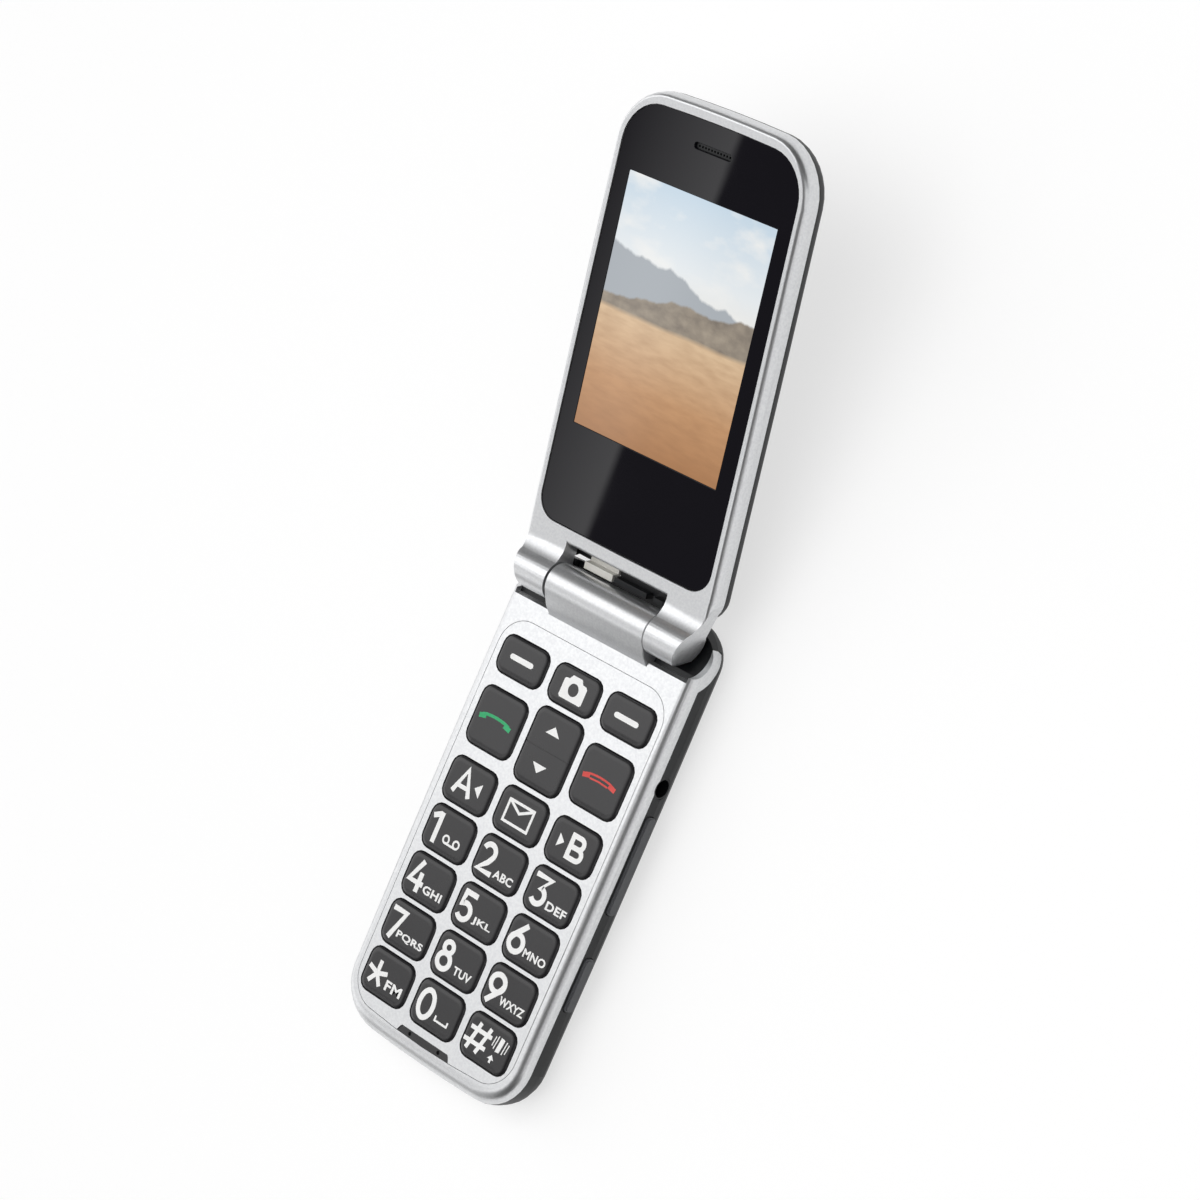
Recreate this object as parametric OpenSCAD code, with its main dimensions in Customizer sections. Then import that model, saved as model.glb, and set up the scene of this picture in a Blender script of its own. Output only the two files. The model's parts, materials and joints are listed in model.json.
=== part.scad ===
// Flip phone with large keys, lying open: a base with the keypad and a lid with the screen.
// Millimetres. Origin at the centre of the base's flat underside, +X right, +Y towards the
// hinge, +Z up. The lid is built closed to its own axes: its origin is the hinge axis, its +Y
// runs up the screen and its +Z comes out of the screen.

/* [Base] */
// Width of the base at its middle
base_w = 48.7; // [44:0.1:56]
// Length of the base from the microphone end to the hinge end
base_len = 100.7; // [98:0.1:112]
// Height of the silver face above the table
base_h = 10.8; // [10.4:0.1:14]
// Height at which the black shell meets the silver frame
shell_h = 7.9; // [7.8:0.1:8]
// Radius of the corners at the microphone end
tip_r = 9.5; // [7:0.5:12]
// Radius of the corners at the hinge end
heel_r = 7; // [5:0.5:8]
// Rounding along the underside
under_r = 5.5; // [3:0.5:6]
// Rounding along the sides of the silver face
rim_r = 1.75; // [1:0.05:2]
// Rounding along the silver face's end by the microphone
front_r = 3.7; // [1.5:0.1:3.8]
// How much the long sides bulge
side_bow = 0.4; // [0:0.1:0.8]
// How much the ends bulge
end_bow = 0.8; // [0:0.1:1.5]
// Wall of the shell and of the frame
base_wall = 1.6; // [1.2:0.1:2]

/* [Hinge] */
// Distance of the hinge axis from the hinge end of the base
hinge_inset = 5.35; // [5.2:0.05:6]
// Height of the hinge axis above the underside
hinge_h = 12; // [11.6:0.1:13]
// Angle between closed and fully open
open_angle = 163.85; // [150:0.05:168]
// Radius of the silver barrel between the knuckles
barrel_r = 3.8; // [3.5:0.1:4.1]
// Length of the barrel
barrel_w = 26; // [22:0.5:30]
// Radius of the knuckles on the lid
knuckle_r = 4; // [3.6:0.1:4.2]
// Gap between the barrel's end and a knuckle
knuckle_gap = 0.35; // [0.2:0.05:0.6]
// Half width of the hinge across the tips of the knuckles
knuckle_reach = 20.4; // [19:0.1:21]
// Radius of the scoop in which a knuckle turns
scoop_r = 5; // [4.8:0.1:5.2]
// Outer radius of the silver ear around a scoop
ear_r = 7.9; // [7:0.1:8.4]
// Radius of the hinge pin
pin_r = 1.4; // [1:0.1:1.8]
// Radius of the sprung hinge module inside the barrel
module_r = 2.75; // [2.3:0.05:2.9]

/* [Lid] */
// How far each side of the lid stands in from the base's side
lid_side = 0.25; // [0.1:0.05:0.6]
// Narrowing of each side towards the far end
lid_taper = 0.7; // [0:0.1:1.2]
// Thickness from the window to the outer face
lid_t = 6.9; // [6.6:0.1:9]
// Height of the silver part of the lid's edge below the window
lid_split = 3.25; // [2.8:0.05:3.5]
// Rounding along the lid's outer face
lid_outer_r = 3.5; // [2.5:0.5:4]
// Rounding along the lid's silver rim, measured across the face
lid_rim_r = 1; // [0.5:0.1:1.2]
// Rounding along the lid's silver rim, measured down the side
lid_rim_drop = 2.2; // [0.8:0.1:2.4]
// How far the silver rim stands above the window
lid_rim_h = 0.25; // [0.1:0.05:0.4]
// Radius of the lid's corners at the far end
lid_tip_r = 10.5; // [8:0.5:12]
// Bulge of the lid's hinge end across its width
foot_bow = 0.2; // [0.1:0.05:0.4]
// Gap between the window and the keys when closed
closed_gap = 1.2; // [0.8:0.1:1.6]
// Wall of the lid's frame and cover
lid_wall = 1.4; // [1:0.1:1.8]
// Distance from the hinge axis to the frame's edge between the knuckles
lid_foot_y = 7.35; // [7.2:0.05:8]

/* [Screen] */
// Width of the picture area
screen_w = 36.7; // [30:0.1:39]
// Height of the picture area
screen_h = 49; // [42:0.1:52]
// Distance from the hinge axis to the bottom of the picture
screen_y = 30.2; // [27:0.1:33]
// Width of the black window
window_w = 44.4; // [42:0.1:45]
// Distance from the hinge axis to the window's lower edge
window_y0 = 10.4; // [10:0.1:12]
// Margin between the window's upper edge and the lid's far end
window_margin = 2.5; // [2.2:0.1:4]
// Thickness of the window
window_t = 1; // [0.8:0.1:1.2]
// Corner radius at the window's upper edge
window_top_r = 8; // [5:0.5:9]
// Corner radius at the window's lower edge
window_foot_r = 4.5; // [3:0.5:6]
// Width of the earpiece slot
ear_slot_w = 9.2; // [7:0.1:12]
// Height of the earpiece slot
ear_slot_h = 1.2; // [1:0.1:1.6]
// Margin between the earpiece slot and the window's upper edge
ear_slot_margin = 4.9; // [4:0.1:6]

/* [Keys] */
// Width of a key
key_w = 12.4; // [11:0.1:12.8]
// Height of a number key
key_h = 9.1; // [8:0.1:9.4]
// Height of the keys in the top row
soft_key_h = 7.8; // [6.5:0.1:8.4]
// Height of the call and end keys
call_key_h = 12.1; // [10:0.1:13]
// Height of the navigation key
nav_key_h = 15.3; // [14:0.1:15.6]
// Corner radius of a key
key_r = 2.3; // [1.5:0.1:3]
// Distance between the key columns
column_pitch = 14.17; // [13.8:0.01:14.4]
// Distance between the rows of number keys
row_pitch = 10.14; // [10:0.01:10.3]
// Gap above and below the navigation key
nav_gap = 1.15; // [1:0.05:1.4]
// Distance from the base's end to the middle of the lowest row
keypad_y = 11.74; // [11.4:0.01:12.2]
// How far the keys stand above the silver face
key_proud = 0.4; // [0.3:0.05:0.8]
// Travel of a key
key_travel = 0.3; // [0.2:0.05:0.3]
// Tilt of the navigation key to each side, in degrees
nav_tilt = 2; // [1:0.1:2]
// Width of the silver panel around the keys
panel_w = 43.8; // [43.2:0.1:44]
// Margin of the silver panel at the microphone end
panel_y = 3.95; // [3.9:0.05:4.2]
// How much the silver panel's end by the microphone bulges
panel_bow = 1.7; // [0.8:0.1:1.8]
// Margin between the top row of keys and the panel's upper edge
panel_top = 3.45; // [2.6:0.05:3.6]
// Corner radius of the silver panel
panel_r = 6; // [4:0.5:7]
// Width of the microphone slot
mic_slot_w = 14.6; // [10:0.1:18]
// Height of the microphone slot
mic_slot_h = 1.5; // [1.2:0.1:1.6]

/* [Side keys and sockets] */
// Length of the volume rocker
rocker_len = 20; // [16:0.5:22]
// Middle of the volume rocker
rocker_y = 3.3; // [1:0.1:3.5]
// Length of the lower side key
side_key_len = 11; // [8:0.5:12]
// Middle of the lower side key
side_key_y = -21.2; // [-24:0.1:-18]
// Height of the side keys' middle above the underside
side_key_z = 5.9; // [5.8:0.1:6]
// Thickness of the side keys
side_key_h = 2.6; // [2:0.1:2.6]
// How far the side keys stand out of the shell
side_key_proud = 0.6; // [0.3:0.1:0.9]
// Travel of the lower side key
side_key_travel = 0.4; // [0.3:0.05:0.4]
// Tilt of the volume rocker to each side, in degrees
rocker_tilt = 1.5; // [1:0.1:1.5]
// Place of the headphone and charging sockets along the sides
socket_y = 19; // [18.8:0.1:19.4]
// Radius of the headphone socket's bore
jack_r = 1.8; // [1.75:0.01:1.85]
// Depth of the headphone socket's bore
jack_depth = 11; // [9:0.5:11]
// Height of the headphone socket's middle
jack_z = 6.2; // [6:0.05:6.25]
// Width of the charging socket
usb_w = 7.6; // [7:0.1:8]
// Height of the charging socket
usb_h = 2.6; // [2.2:0.1:2.8]

/* [Battery bay] */
// Width of the battery
battery_w = 34; // [30:0.1:34.4]
// Length of the battery
battery_len = 44; // [40:0.5:45]
// Thickness of the battery
battery_t = 4.4; // [4:0.1:4.5]
// Thickness of the battery cover
cover_t = 1.2; // [1:0.1:1.3]
// Wall above the battery, which carries the main board
bay_wall = 0.8; // [0.6:0.1:0.9]
// Distance of the battery bay from the microphone end
bay_y = 7.4; // [7.2:0.1:8]
// How far the battery cover overlaps the edge of the bay
cover_lap = 0.8; // [0.6:0.1:0.9]

/* [Fits] */
// Gap round a key in the silver panel
key_fit = 0.15; // [0.12:0.01:0.2]
// Gap round a piece that is set into another one
panel_fit = 0.1; // [0.05:0.01:0.12]
// Radial clearance of the hinge pin
pin_fit = 0.05; // [0.02:0.01:0.09]

/* [Hidden] */
$fn = 64;

silver = "#c9cbce";
steel = "#9aa0a6";
black = "#1b1c1e";
key_grey = "#484648";
side_grey = "#5a5b5e";
board_green = "#1f5a3a";
gold = "#c8a24a";
white = "#d8d6d0";

corner_steps = 8;     // steps round a corner of an outline
side_steps = 6;       // steps along a long side
rim_steps = 5;        // steps round an edge's rounding
end_steps = 4;        // steps along a short end
key_corner_steps = 4; // steps round a key's corner
eps = 0.01;           // overlap of a cut past the face that it opens
far = 200;            // longer than anything in the phone

// Base: levels from the underside upwards
half_len = base_len / 2;
half_w = base_w / 2;
key_top = base_h + key_proud;
panel_t = 1;
panel_z = base_h - panel_t;
ledge_t = 0.8;
ledge_w = 0.7;
ledge_z = panel_z - ledge_t;
flange_t = 0.4;
flange_w = 0.45;
flange_gap = 0.05;
flange_z = panel_z - flange_gap - flange_t;
mat_top = flange_z - key_travel - flange_gap;
mat_t = 0.5;
bay_top = shell_h - 1.1 - bay_wall;
board_z = bay_top + bay_wall;
board_t = 1;
dome_t = 0.2;
board_top = board_z + board_t;
dome_top = board_top + dome_t;

// Base: the key rows, from the microphone end upwards
row_1 = keypad_y - half_len;
function number_row(i) = row_1 + i * row_pitch;
nav_row = number_row(4) + (key_h + nav_key_h) / 2 + nav_gap;
soft_row = nav_row + (nav_key_h + soft_key_h) / 2 + nav_gap;
panel_y0 = panel_y - half_len;
panel_y1 = soft_row + soft_key_h / 2 + panel_top;

// Base: the hinge end
hinge_y = half_len - hinge_inset;
barrel_y0 = hinge_y - 6.6;     // front edge of the barrel's foot
barrel_crease = [hinge_y - 5, base_h + 2.05];
saddle_t = 1;                  // black lining of a scoop
saddle_reach = half_w - 1.45;  // where the black lining ends and the silver ear begins
ear_top = base_h - 1.5;        // top of the ear behind the knuckle
knuckle_x = barrel_w / 2 + knuckle_gap;
scoop_x = barrel_w / 2 + knuckle_gap / 3;

// Base: the battery bay and the pockets under the main board
bay_y0 = bay_y - half_len;
bay_half_w = battery_w / 2 + 0.4;
contacts_len = 3;
sim_len = 12;
sim_w = 18;
bay_y1 = bay_y0 + battery_len + contacts_len + 1.2;
bay_y2 = bay_y1 + sim_len + 0.8;
cover_r = 4;
pocket_y0 = bay_y2 + 2;
pocket_y1 = pocket_y0 + 14.4;
pocket_z = 2;
pocket_w = 33;
side_pocket_x = half_w - 4.75;
side_board_x = half_w - 3.95;
side_board_t = 0.6;
side_pocket_z = side_key_z - side_key_h / 2 - 0.6;
cavity_x = half_w - base_wall;

// Base: screws between shell and frame, and their bosses
screw_r = 0.8;
screw_head_r = 1.4;
screw_head_h = 1;
boss_r = 1.6;
base_screw_places = [for (sx = [-1, 1]) each
    [[sx * 15.5, barrel_y0 - 2.1], [sx * 14, 3.4 - half_len]]];
screw_sink = 3;                // depth of a screw's counterbore

// Lid: levels in the lid's own axes
rest_tilt = 180 - open_angle;
window_z = hinge_h - key_top - closed_gap;
lid_top = window_z + lid_rim_h;
lid_bottom = window_z - lid_t;
split_z = window_z - lid_split;
lid_reach = hinge_y + half_len;
lid_half_w = base_w / 2 - lid_side;
lid_y0 = 4.8;                  // end of the lid beside the knuckles
lid_foot_r = 5;
window_z0 = window_z - window_t;
window_y1 = lid_reach - window_margin;
window_seat = 1;               // ledge under the window's edge
cavity_z = lid_bottom + lid_wall;
ear_slot_y = window_y1 - ear_slot_margin;
display_t = 1.9;
display_z = window_z0 - 0.05;
lid_board_z = display_z - display_t;
lid_board_t = 0.8;
camera_y = lid_reach - 17;
camera_r = 4.6;
lid_screw_x = window_w / 2 - window_seat - 1.7;
lid_post_r = 1.9;
lid_screw_r = 0.6;
stud_places = [for (sx = [-1, 1], y = [screen_y + 4, screen_y + screen_h - 8]) [14 * sx, y]];
lid_screw_places = [for (sx = [-1, 1], y = [window_y0 + 8, window_y1 - 9]) [sx * lid_screw_x, y]];

// ---------- outlines and rounded bodies ----------

// Points of a quarter turn of radius r about [cx, cy] from angle a, each with its way out
function corner(cx, cy, r, a, n) =
    [for (i = [0:n]) let (c = cos(a + 90 * i / n), s = sin(a + 90 * i / n))
        [cx + r * c, cy + r * s, c, s]];

// Points strictly between p and q
function between(p, q, n) = [for (i = [1:n - 1]) p + (q - p) * i / n];

// Rounded rectangle from y0 to y1, half width w, corner radii r0 at y0 and r1 at y1
function outline(w, y0, y1, r0, r1, n = corner_steps, sides = side_steps, ends = end_steps) =
    concat(
        corner(w - r0, y0 + r0, r0, -90, n),
        between([w, y0 + r0, 1, 0], [w, y1 - r1, 1, 0], sides),
        corner(w - r1, y1 - r1, r1, 0, n),
        between([w - r1, y1, 0, 1], [r1 - w, y1, 0, 1], ends),
        corner(r1 - w, y1 - r1, r1, 90, n),
        between([-w, y1 - r1, -1, 0], [-w, y0 + r0, -1, 0], sides),
        corner(r0 - w, y0 + r0, r0, 180, n),
        between([r0 - w, y0, 0, -1], [w - r0, y0, 0, -1], ends)
    );

// A small rounded rectangle about [cx, cy]
function pill(cx, cy, w, h, r, n = key_corner_steps) =
    [for (p = concat(
        corner(w / 2 - r, r - h / 2, r, -90, n), corner(w / 2 - r, h / 2 - r, r, 0, n),
        corner(r - w / 2, h / 2 - r, r, 90, n), corner(r - w / 2, r - h / 2, r, 180, n)
    )) [p.x + cx, p.y + cy]];

// Bulge of the base's sides and ends, for a point at [x, y] on a straight-sided outline
function bulged(x, y, ends) =
    [x * (1 - side_bow / half_w * pow(y / half_len, 2)),
     y * (1 - ends / half_len * pow(x / half_w, 2))];

base_points = outline(half_w, -half_len, half_len, tip_r, heel_r);

// Outline of the base, drawn in by inset
function base_outline(inset) =
    [for (p = base_points) bulged(p.x - inset * p[2], p.y - inset * p[3], end_bow)];

// Ring of the base's upper edge at angle a, from 0 on the side to 90 on the face
function base_rim(a) =
    [for (p = base_points)
        let (r = rim_r + (p[3] < 0 ? (front_r - rim_r) * pow(p[3], 2) : 0))
        let (d = r * (1 - cos(a)), q = bulged(p.x - d * p[2], p.y - d * p[3], end_bow))
        [q.x, q.y, base_h - r * (1 - sin(a))]];

// Taper of the lid and bulge of its two ends, for a point at [x, y] on a straight-sided outline
function tapered(x, y) =
    [x * (1 - lid_taper / lid_half_w * pow((y - lid_y0) / (lid_reach - lid_y0), 2)),
     y + pow(x / lid_half_w, 2) * (foot_bow * max(screen_y - y, 0) / (screen_y - lid_y0)
                                   - end_bow * max(y - screen_y, 0) / (lid_reach - screen_y))];

lid_points = outline(lid_half_w, lid_y0, lid_reach, lid_foot_r, lid_tip_r);

// Outline of the lid, drawn in by inset
function lid_outline(inset) =
    [for (p = lid_points) tapered(p.x - inset * p[2], p.y - inset * p[3])];

// Closed body through rings of equal length, from the lowest ring to the highest
module loft(rings) {
    n = len(rings[0]);
    last = len(rings) - 1;
    sides = [for (k = [0:last - 1], i = [0:n - 1])
        let (a = k * n + i, b = k * n + (i + 1) % n)
        each [[a, a + n, b + n], [a, b + n, b]]];
    bottom = [for (i = [0:n - 1]) i];
    top = [for (i = [n - 1:-1:0]) last * n + i];
    polyhedron(points = [for (ring = rings) each ring], faces = concat([bottom, top], sides));
}

function lifted(points, z) = [for (p = points) [p.x, p.y, z]];

// The whole outer form of the base
module base_form() {
    lower = [for (a = [0:18:90]) [under_r * (1 - sin(a)), under_r * (1 - cos(a))]];
    upper = [for (i = [0:rim_steps]) base_rim(90 * i / rim_steps)];
    loft(concat([for (s = lower) lifted(base_outline(s[0]), s[1])], upper));
}

// The whole outer form of the lid, without its knuckles
module lid_form() {
    lower = [for (a = [0:18:90])
        [lid_outer_r * (1 - sin(a)), lid_bottom + lid_outer_r * (1 - cos(a))]];
    upper = [for (i = [0:rim_steps]) let (a = 90 * i / rim_steps)
        [lid_rim_r * (1 - cos(a)), lid_top - lid_rim_drop * (1 - sin(a))]];
    loft([for (s = concat(lower, upper)) lifted(lid_outline(s[0]), s[1])]);
}

module slab(points, z0, z1) {
    translate([0, 0, z0]) linear_extrude(z1 - z0) polygon(points);
}

module box(x0, x1, y0, y1, z0, z1) {
    translate([x0, y0, z0]) cube([x1 - x0, y1 - y0, z1 - z0]);
}

module rod(x0, x1, y, z, r) {
    translate([x0, y, z]) rotate([0, 90, 0]) cylinder(h = x1 - x0, r = r);
}

module both_sides() {
    children();
    mirror([1, 0, 0]) children();
}

// Puts a piece that is drawn in the lid's own axes in its place on the open phone
module on_lid() {
    translate([0, hinge_y, hinge_h]) rotate([rest_tilt, 0, 0]) children();
}

// Space about the hinge axis beside the barrel, from x0 outwards
module hinge_space(x0, r) {
    both_sides() rod(x0, far, hinge_y, hinge_h, r);
}

// ---------- base ----------

module scoops() {
    hinge_space(scoop_x, scoop_r);
    both_sides() box(scoop_x, far, hinge_y - scoop_r, hinge_y + scoop_r, hinge_h, far);
}

module silver_share() {
    box(-far, far, -far, far, shell_h, far);
    hinge_space(saddle_reach, ear_r);
}

module frame_boss(p) {
    translate([p.x, p.y, shell_h - 1]) cylinder(h = panel_z - 0.1 - shell_h + 1, r = boss_r);
}

module base_frame() color(silver) difference() {
    union() {
        difference() {
            intersection() {
                base_form();
                silver_share();
            }
            // Room for the keypad's mat under the face
            intersection() {
                slab(base_outline(base_wall), shell_h - eps, ledge_z);
                box(-far, far, -far, barrel_y0 - 0.6, 0, far);
            }
            slab(panel_outline(-ledge_w), shell_h, panel_z + eps);
            slab(panel_outline(panel_fit), panel_z, base_h + 1);
            // Relief for the flanges of the corner keys
            for (k = [keys[6], keys[8]])
                slab(key_outline(k, flange_w + 0.3), ledge_z - 1, panel_z + eps);
        }
        intersection() {
            for (p = base_screw_places) frame_boss(p);
            base_form();
        }
    }
    // Seat of the barrel
    box(-scoop_x, scoop_x, barrel_y0 - 0.02, far, shell_h - 1, far);
    // The scoops, lined in black up to the ears
    scoops();
    difference() {
        hinge_space(scoop_x, scoop_r + saddle_t);
        hinge_space(saddle_reach, far);
    }
    both_sides() box(scoop_x, far, hinge_y, far, ear_top, far);
    both_sides() box(scoop_x, saddle_reach, hinge_y, far, 0, far);
    for (p = base_screw_places) translate([p.x, p.y, 0]) cylinder(h = ledge_z, r = screw_r);
    jack_hole();
}

panel_points = outline(panel_w / 2, panel_y0, panel_y1, panel_r, panel_r);

function panel_outline(grow) =
    [for (p = panel_points)
        bulged(p.x + grow * p[2], p.y + grow * p[3], p.y < 0 ? panel_bow : 0)];

// Plan of the microphone slot, wider at the end of the phone
function mic_slot(shrink) =
    let (y0 = panel_y0 + 3 * shrink, y1 = panel_y0 + mic_slot_h - shrink)
    let (w = mic_slot_w / 2 - 1.5 * shrink, r = 0.4)
    [[-w, y0], [w, y0], [w - 0.5, y1 - r], [w - 0.5 - r, y1],
     [r + 0.5 - w, y1], [0.5 - w, y1 - r]];

// Names a key by its column, -1 to 1, its row's middle and its height
keys = [
    [-1, soft_row, soft_key_h], [0, soft_row, soft_key_h], [1, soft_row, soft_key_h],
    [-1, nav_row, call_key_h], [0, nav_row, nav_key_h], [1, nav_row, call_key_h],
    each [for (i = [0:4], c = [-1:1]) [c, number_row(i), key_h]]
];

function key_outline(k, grow) =
    pill(k[0] * column_pitch, k[1], key_w + 2 * grow, k[2] + 2 * grow, key_r + grow);

module keypad_plate() color(silver) translate([0, 0, panel_z]) linear_extrude(panel_t) difference() {
    polygon(panel_outline(0));
    for (k = keys) polygon(key_outline(k, key_fit));
    polygon(mic_slot(0));
    translate([-mic_slot_w / 2, panel_y0 - 1]) square([mic_slot_w, 1.01]);
}

module microphone_grille() color(black) difference() {
    slab(mic_slot(panel_fit), panel_z + 0.02, base_h - 0.35);
    for (x = [-4, 4]) translate([x, panel_y0 + mic_slot_h / 2, panel_z]) cylinder(h = 2, r = 0.4);
}

module hinge_barrel() color(silver) difference() {
    w = barrel_w / 2;
    tangent = hinge_tangent(barrel_crease);
    union() {
        rod(-w, w, hinge_y, hinge_h, barrel_r);
        translate([-w, 0, 0]) rotate([90, 0, 90]) linear_extrude(barrel_w) polygon([
            [barrel_y0, shell_h], [hinge_y + barrel_r, shell_h],
            [hinge_y + barrel_r, hinge_h], [hinge_y, hinge_h], tangent,
            barrel_crease, [barrel_y0, base_h]
        ]);
    }
    rod(-w - 1, w + 1, hinge_y, hinge_h, module_r + pin_fit);
}

// Where a line from p touches the barrel on its front
function hinge_tangent(p) =
    let (dy = hinge_y - p[0], dz = hinge_h - p[1], d = norm([dy, dz]))
    let (a = atan2(dz, dy) + asin(barrel_r / d))
    [hinge_y - barrel_r * sin(a), hinge_h + barrel_r * cos(a)];

module base_shell() color(black) difference() {
    union() {
        difference() {
            intersection() {
                base_form();
                box(-far, far, -far, far, -1, shell_h);
            }
            hinge_space(saddle_reach, ear_r + 0.02);
        }
        // Black lining of the scoops
        intersection() {
            both_sides() union() {
                rod(scoop_x + 0.02, saddle_reach - 0.02, hinge_y, hinge_h, scoop_r + saddle_t - 0.02);
                box(scoop_x + 0.02, saddle_reach - 0.02, hinge_y + 0.02, far, shell_h - 1, ear_top);
            }
            box(-far, far, -far, far, 0, ear_top);
            base_form();
        }
    }
    scoops();
    // Deck for the main board
    difference() {
        slab(base_outline(base_wall), board_z, shell_h + 1);
        box(-far, far, barrel_y0 - 4.2, far, 0, far);
        for (p = base_screw_places) translate([p.x, p.y, 0]) cylinder(h = far, r = boss_r + 0.8);
    }
    // Battery bay with the card holder's end, and the seat of its cover
    slab(pill(0, (bay_y0 + bay_y1) / 2, 2 * bay_half_w, bay_y1 - bay_y0, 1.5), -1, bay_top);
    box(-sim_w / 2 - 0.5, sim_w / 2 + 0.5, bay_y1 - 2, bay_y2, -1, bay_top);
    slab(cover_outline(panel_fit), -1, cover_t + 0.02);
    // Pockets for the loudspeaker and motor, the antenna, the sockets and the side keys
    box(-pocket_w / 2, pocket_w / 2, pocket_y0, pocket_y1, pocket_z, shell_h);
    for (i = [0:3]) slab(pill(loudspeaker_x, pocket_y0 + 4.5 + i * 2, 8, 0.9, 0.44), -1, pocket_z + 1);
    box(-11, 11, panel_y0 - 1.9, bay_y0 - 1.6, pocket_z + 0.5, shell_h);
    box(half_w - jack_depth - 2.9, cavity_x, socket_y - 3.4, socket_y + 3.4, jack_z - 2.3, shell_h);
    box(-cavity_x, usb_depth + 0.7 - half_w, socket_y - usb_w / 2 - 0.6, socket_y + usb_w / 2 + 0.6,
        usb_z - usb_h / 2 - 0.3, shell_h);
    box(side_pocket_x, cavity_x, side_key_y - side_key_len / 2 - 1.2,
        rocker_y + rocker_len / 2 + 0.9, side_pocket_z, shell_h);
    // Openings in the side walls
    side_window(rocker_y, rocker_len);
    side_window(side_key_y, side_key_len);
    jack_hole();
    translate([-far, socket_y - usb_w / 2 - 0.1, usb_z - usb_h / 2 - 0.1])
        cube([far - cavity_x + 1, usb_w + 0.2, usb_h + 0.2]);
    // Bores of the screws and sinks for their heads and for the frame's bosses
    for (p = base_screw_places) translate([p.x, p.y, 0]) {
        translate([0, 0, -1]) cylinder(h = screw_sink + 1, r = screw_head_r + 0.15);
        cylinder(h = far, r = screw_r + 0.05);
        translate([0, 0, shell_h - 1.05]) cylinder(h = far, r = boss_r + 0.1);
    }
}

usb_z = board_z - usb_h / 2; // the charging socket hangs from the main board
usb_depth = 5.4;
loudspeaker_x = -8;
motor_x = 9;

module side_window(y, length) {
    translate([cavity_x - 1, 0, 0]) rotate([90, 0, 90]) linear_extrude(far)
        polygon(pill(y, side_key_z, length + 2 * key_fit, side_key_h + 2 * key_fit, 1));
}

module jack_hole() {
    rod(half_w - 4, far, socket_y, jack_z, jack_r + 0.4);
}

function cover_outline(grow) =
    pill(0, (bay_y0 + bay_y2) / 2, 2 * (bay_half_w + cover_lap + grow),
         bay_y2 - bay_y0 + 2 * (cover_lap + grow), cover_r + grow, corner_steps);

module battery_cover() color(black) difference() {
    slab(cover_outline(0), 0, cover_t);
    // Grip for a thumb nail
    for (i = [0:4]) box(-5, 5, bay_y2 - 6.2 + i * 1.2, bay_y2 - 5.7 + i * 1.2, -1, 0.25);
}

module battery() color("#2c2f36") {
    slab(pill(0, bay_y0 + 0.4 + battery_len / 2, battery_w, battery_len, 1.2),
         cover_t + 0.2, cover_t + 0.2 + battery_t);
}

module battery_contacts() color(gold) {
    y = bay_y0 + battery_len + 0.7;
    box(-6, 6, y, y + contacts_len, bay_top - 3.6, bay_top);
    for (x = [-4, 0, 4]) box(x - 0.4, x + 0.4, y - 0.25, y + eps, bay_top - 3, bay_top - 1.4);
}

module sim_holder() color(steel) difference() {
    box(-sim_w / 2, sim_w / 2, bay_y1 + 0.2, bay_y1 + 0.2 + sim_len, bay_top - 1.4, bay_top);
    box(-sim_w / 2 + 0.8, sim_w / 2 - 0.8, bay_y1 + 1.2, far, bay_top - 1, bay_top - 0.3);
    slab(pill(0, bay_y1 + 4.4, 8, 3, 1.2), bay_top - 2, bay_top - 0.9);
}

module main_board() color(board_green) difference() {
    w = side_board_x - 0.25;
    slab(pill(0, (panel_y0 + 0.9 + barrel_y0 - 4.6) / 2, 2 * w,
              barrel_y0 - 4.6 - panel_y0 - 0.9, 3), board_z, board_top);
    box(half_w - jack_depth - 3.1, far, socket_y - 3.6, socket_y + 3.6, 0, far);
    for (p = base_screw_places) translate([p.x, p.y, 0]) cylinder(h = far, r = boss_r + 1.2);
}

module dome_sheet() color(white) difference() {
    w = key_w / 2 + column_pitch - 0.4;
    slab(pill(0, (row_1 - 3.9 + soft_row + 3.4) / 2, 2 * w, soft_row - row_1 + 7.3, 2),
         board_top, dome_top);
    box(half_w - jack_depth - 3.1, far, socket_y - 3.6, socket_y + 3.6, 0, far);
}

module keypad_mat() color("#303236") {
    w = key_w / 2 + column_pitch + 0.4;
    y0 = row_1 - key_h / 2 - 0.5;
    y1 = soft_row + soft_key_h / 2 + 0.5;
    slab(pill(0, (y0 + y1) / 2, 2 * w, y1 - y0, 2.5), mat_top - mat_t, mat_top);
    for (k = keys) if (k != keys[5]) mat_nub(k[0] * column_pitch, k[1]);
    mat_nub(column_pitch - 5, nav_row - 5);
}

module mat_nub(x, y) {
    translate([x, y, dome_top]) cylinder(h = mat_top - mat_t - dome_top + eps, r = 1);
}

module shield_can() color(steel) difference() {
    y0 = socket_y + 4;
    box(1.5, pocket_w / 2 - 1, y0, pocket_y1 - 1, board_z - 1.6, board_z);
    box(1.7, pocket_w / 2 - 1.2, y0 + 0.2, pocket_y1 - 1.2, board_z - 1.4, board_z + 1);
}

module loudspeaker() color(black) difference() {
    slab(pill(loudspeaker_x, pocket_y0 + 7.2, 15, 12, 2), pocket_z, pocket_z + 3.6);
    slab(pill(loudspeaker_x, pocket_y0 + 7.2, 12, 9, 1.5), pocket_z - 1, pocket_z + 0.3);
}

module vibration_motor() color(steel) {
    translate([motor_x, pocket_y0 + 8, pocket_z]) cylinder(h = 2.7, r = 4);
}

module antenna() color(gold) difference() {
    box(-10.6, 10.6, panel_y0 - 1.5, bay_y0 - 2, pocket_z + 0.5, board_z);
    box(-9.6, 9.6, panel_y0 - 0.9, bay_y0 - 1, pocket_z + 1.2, board_z - 0.7);
}

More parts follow.
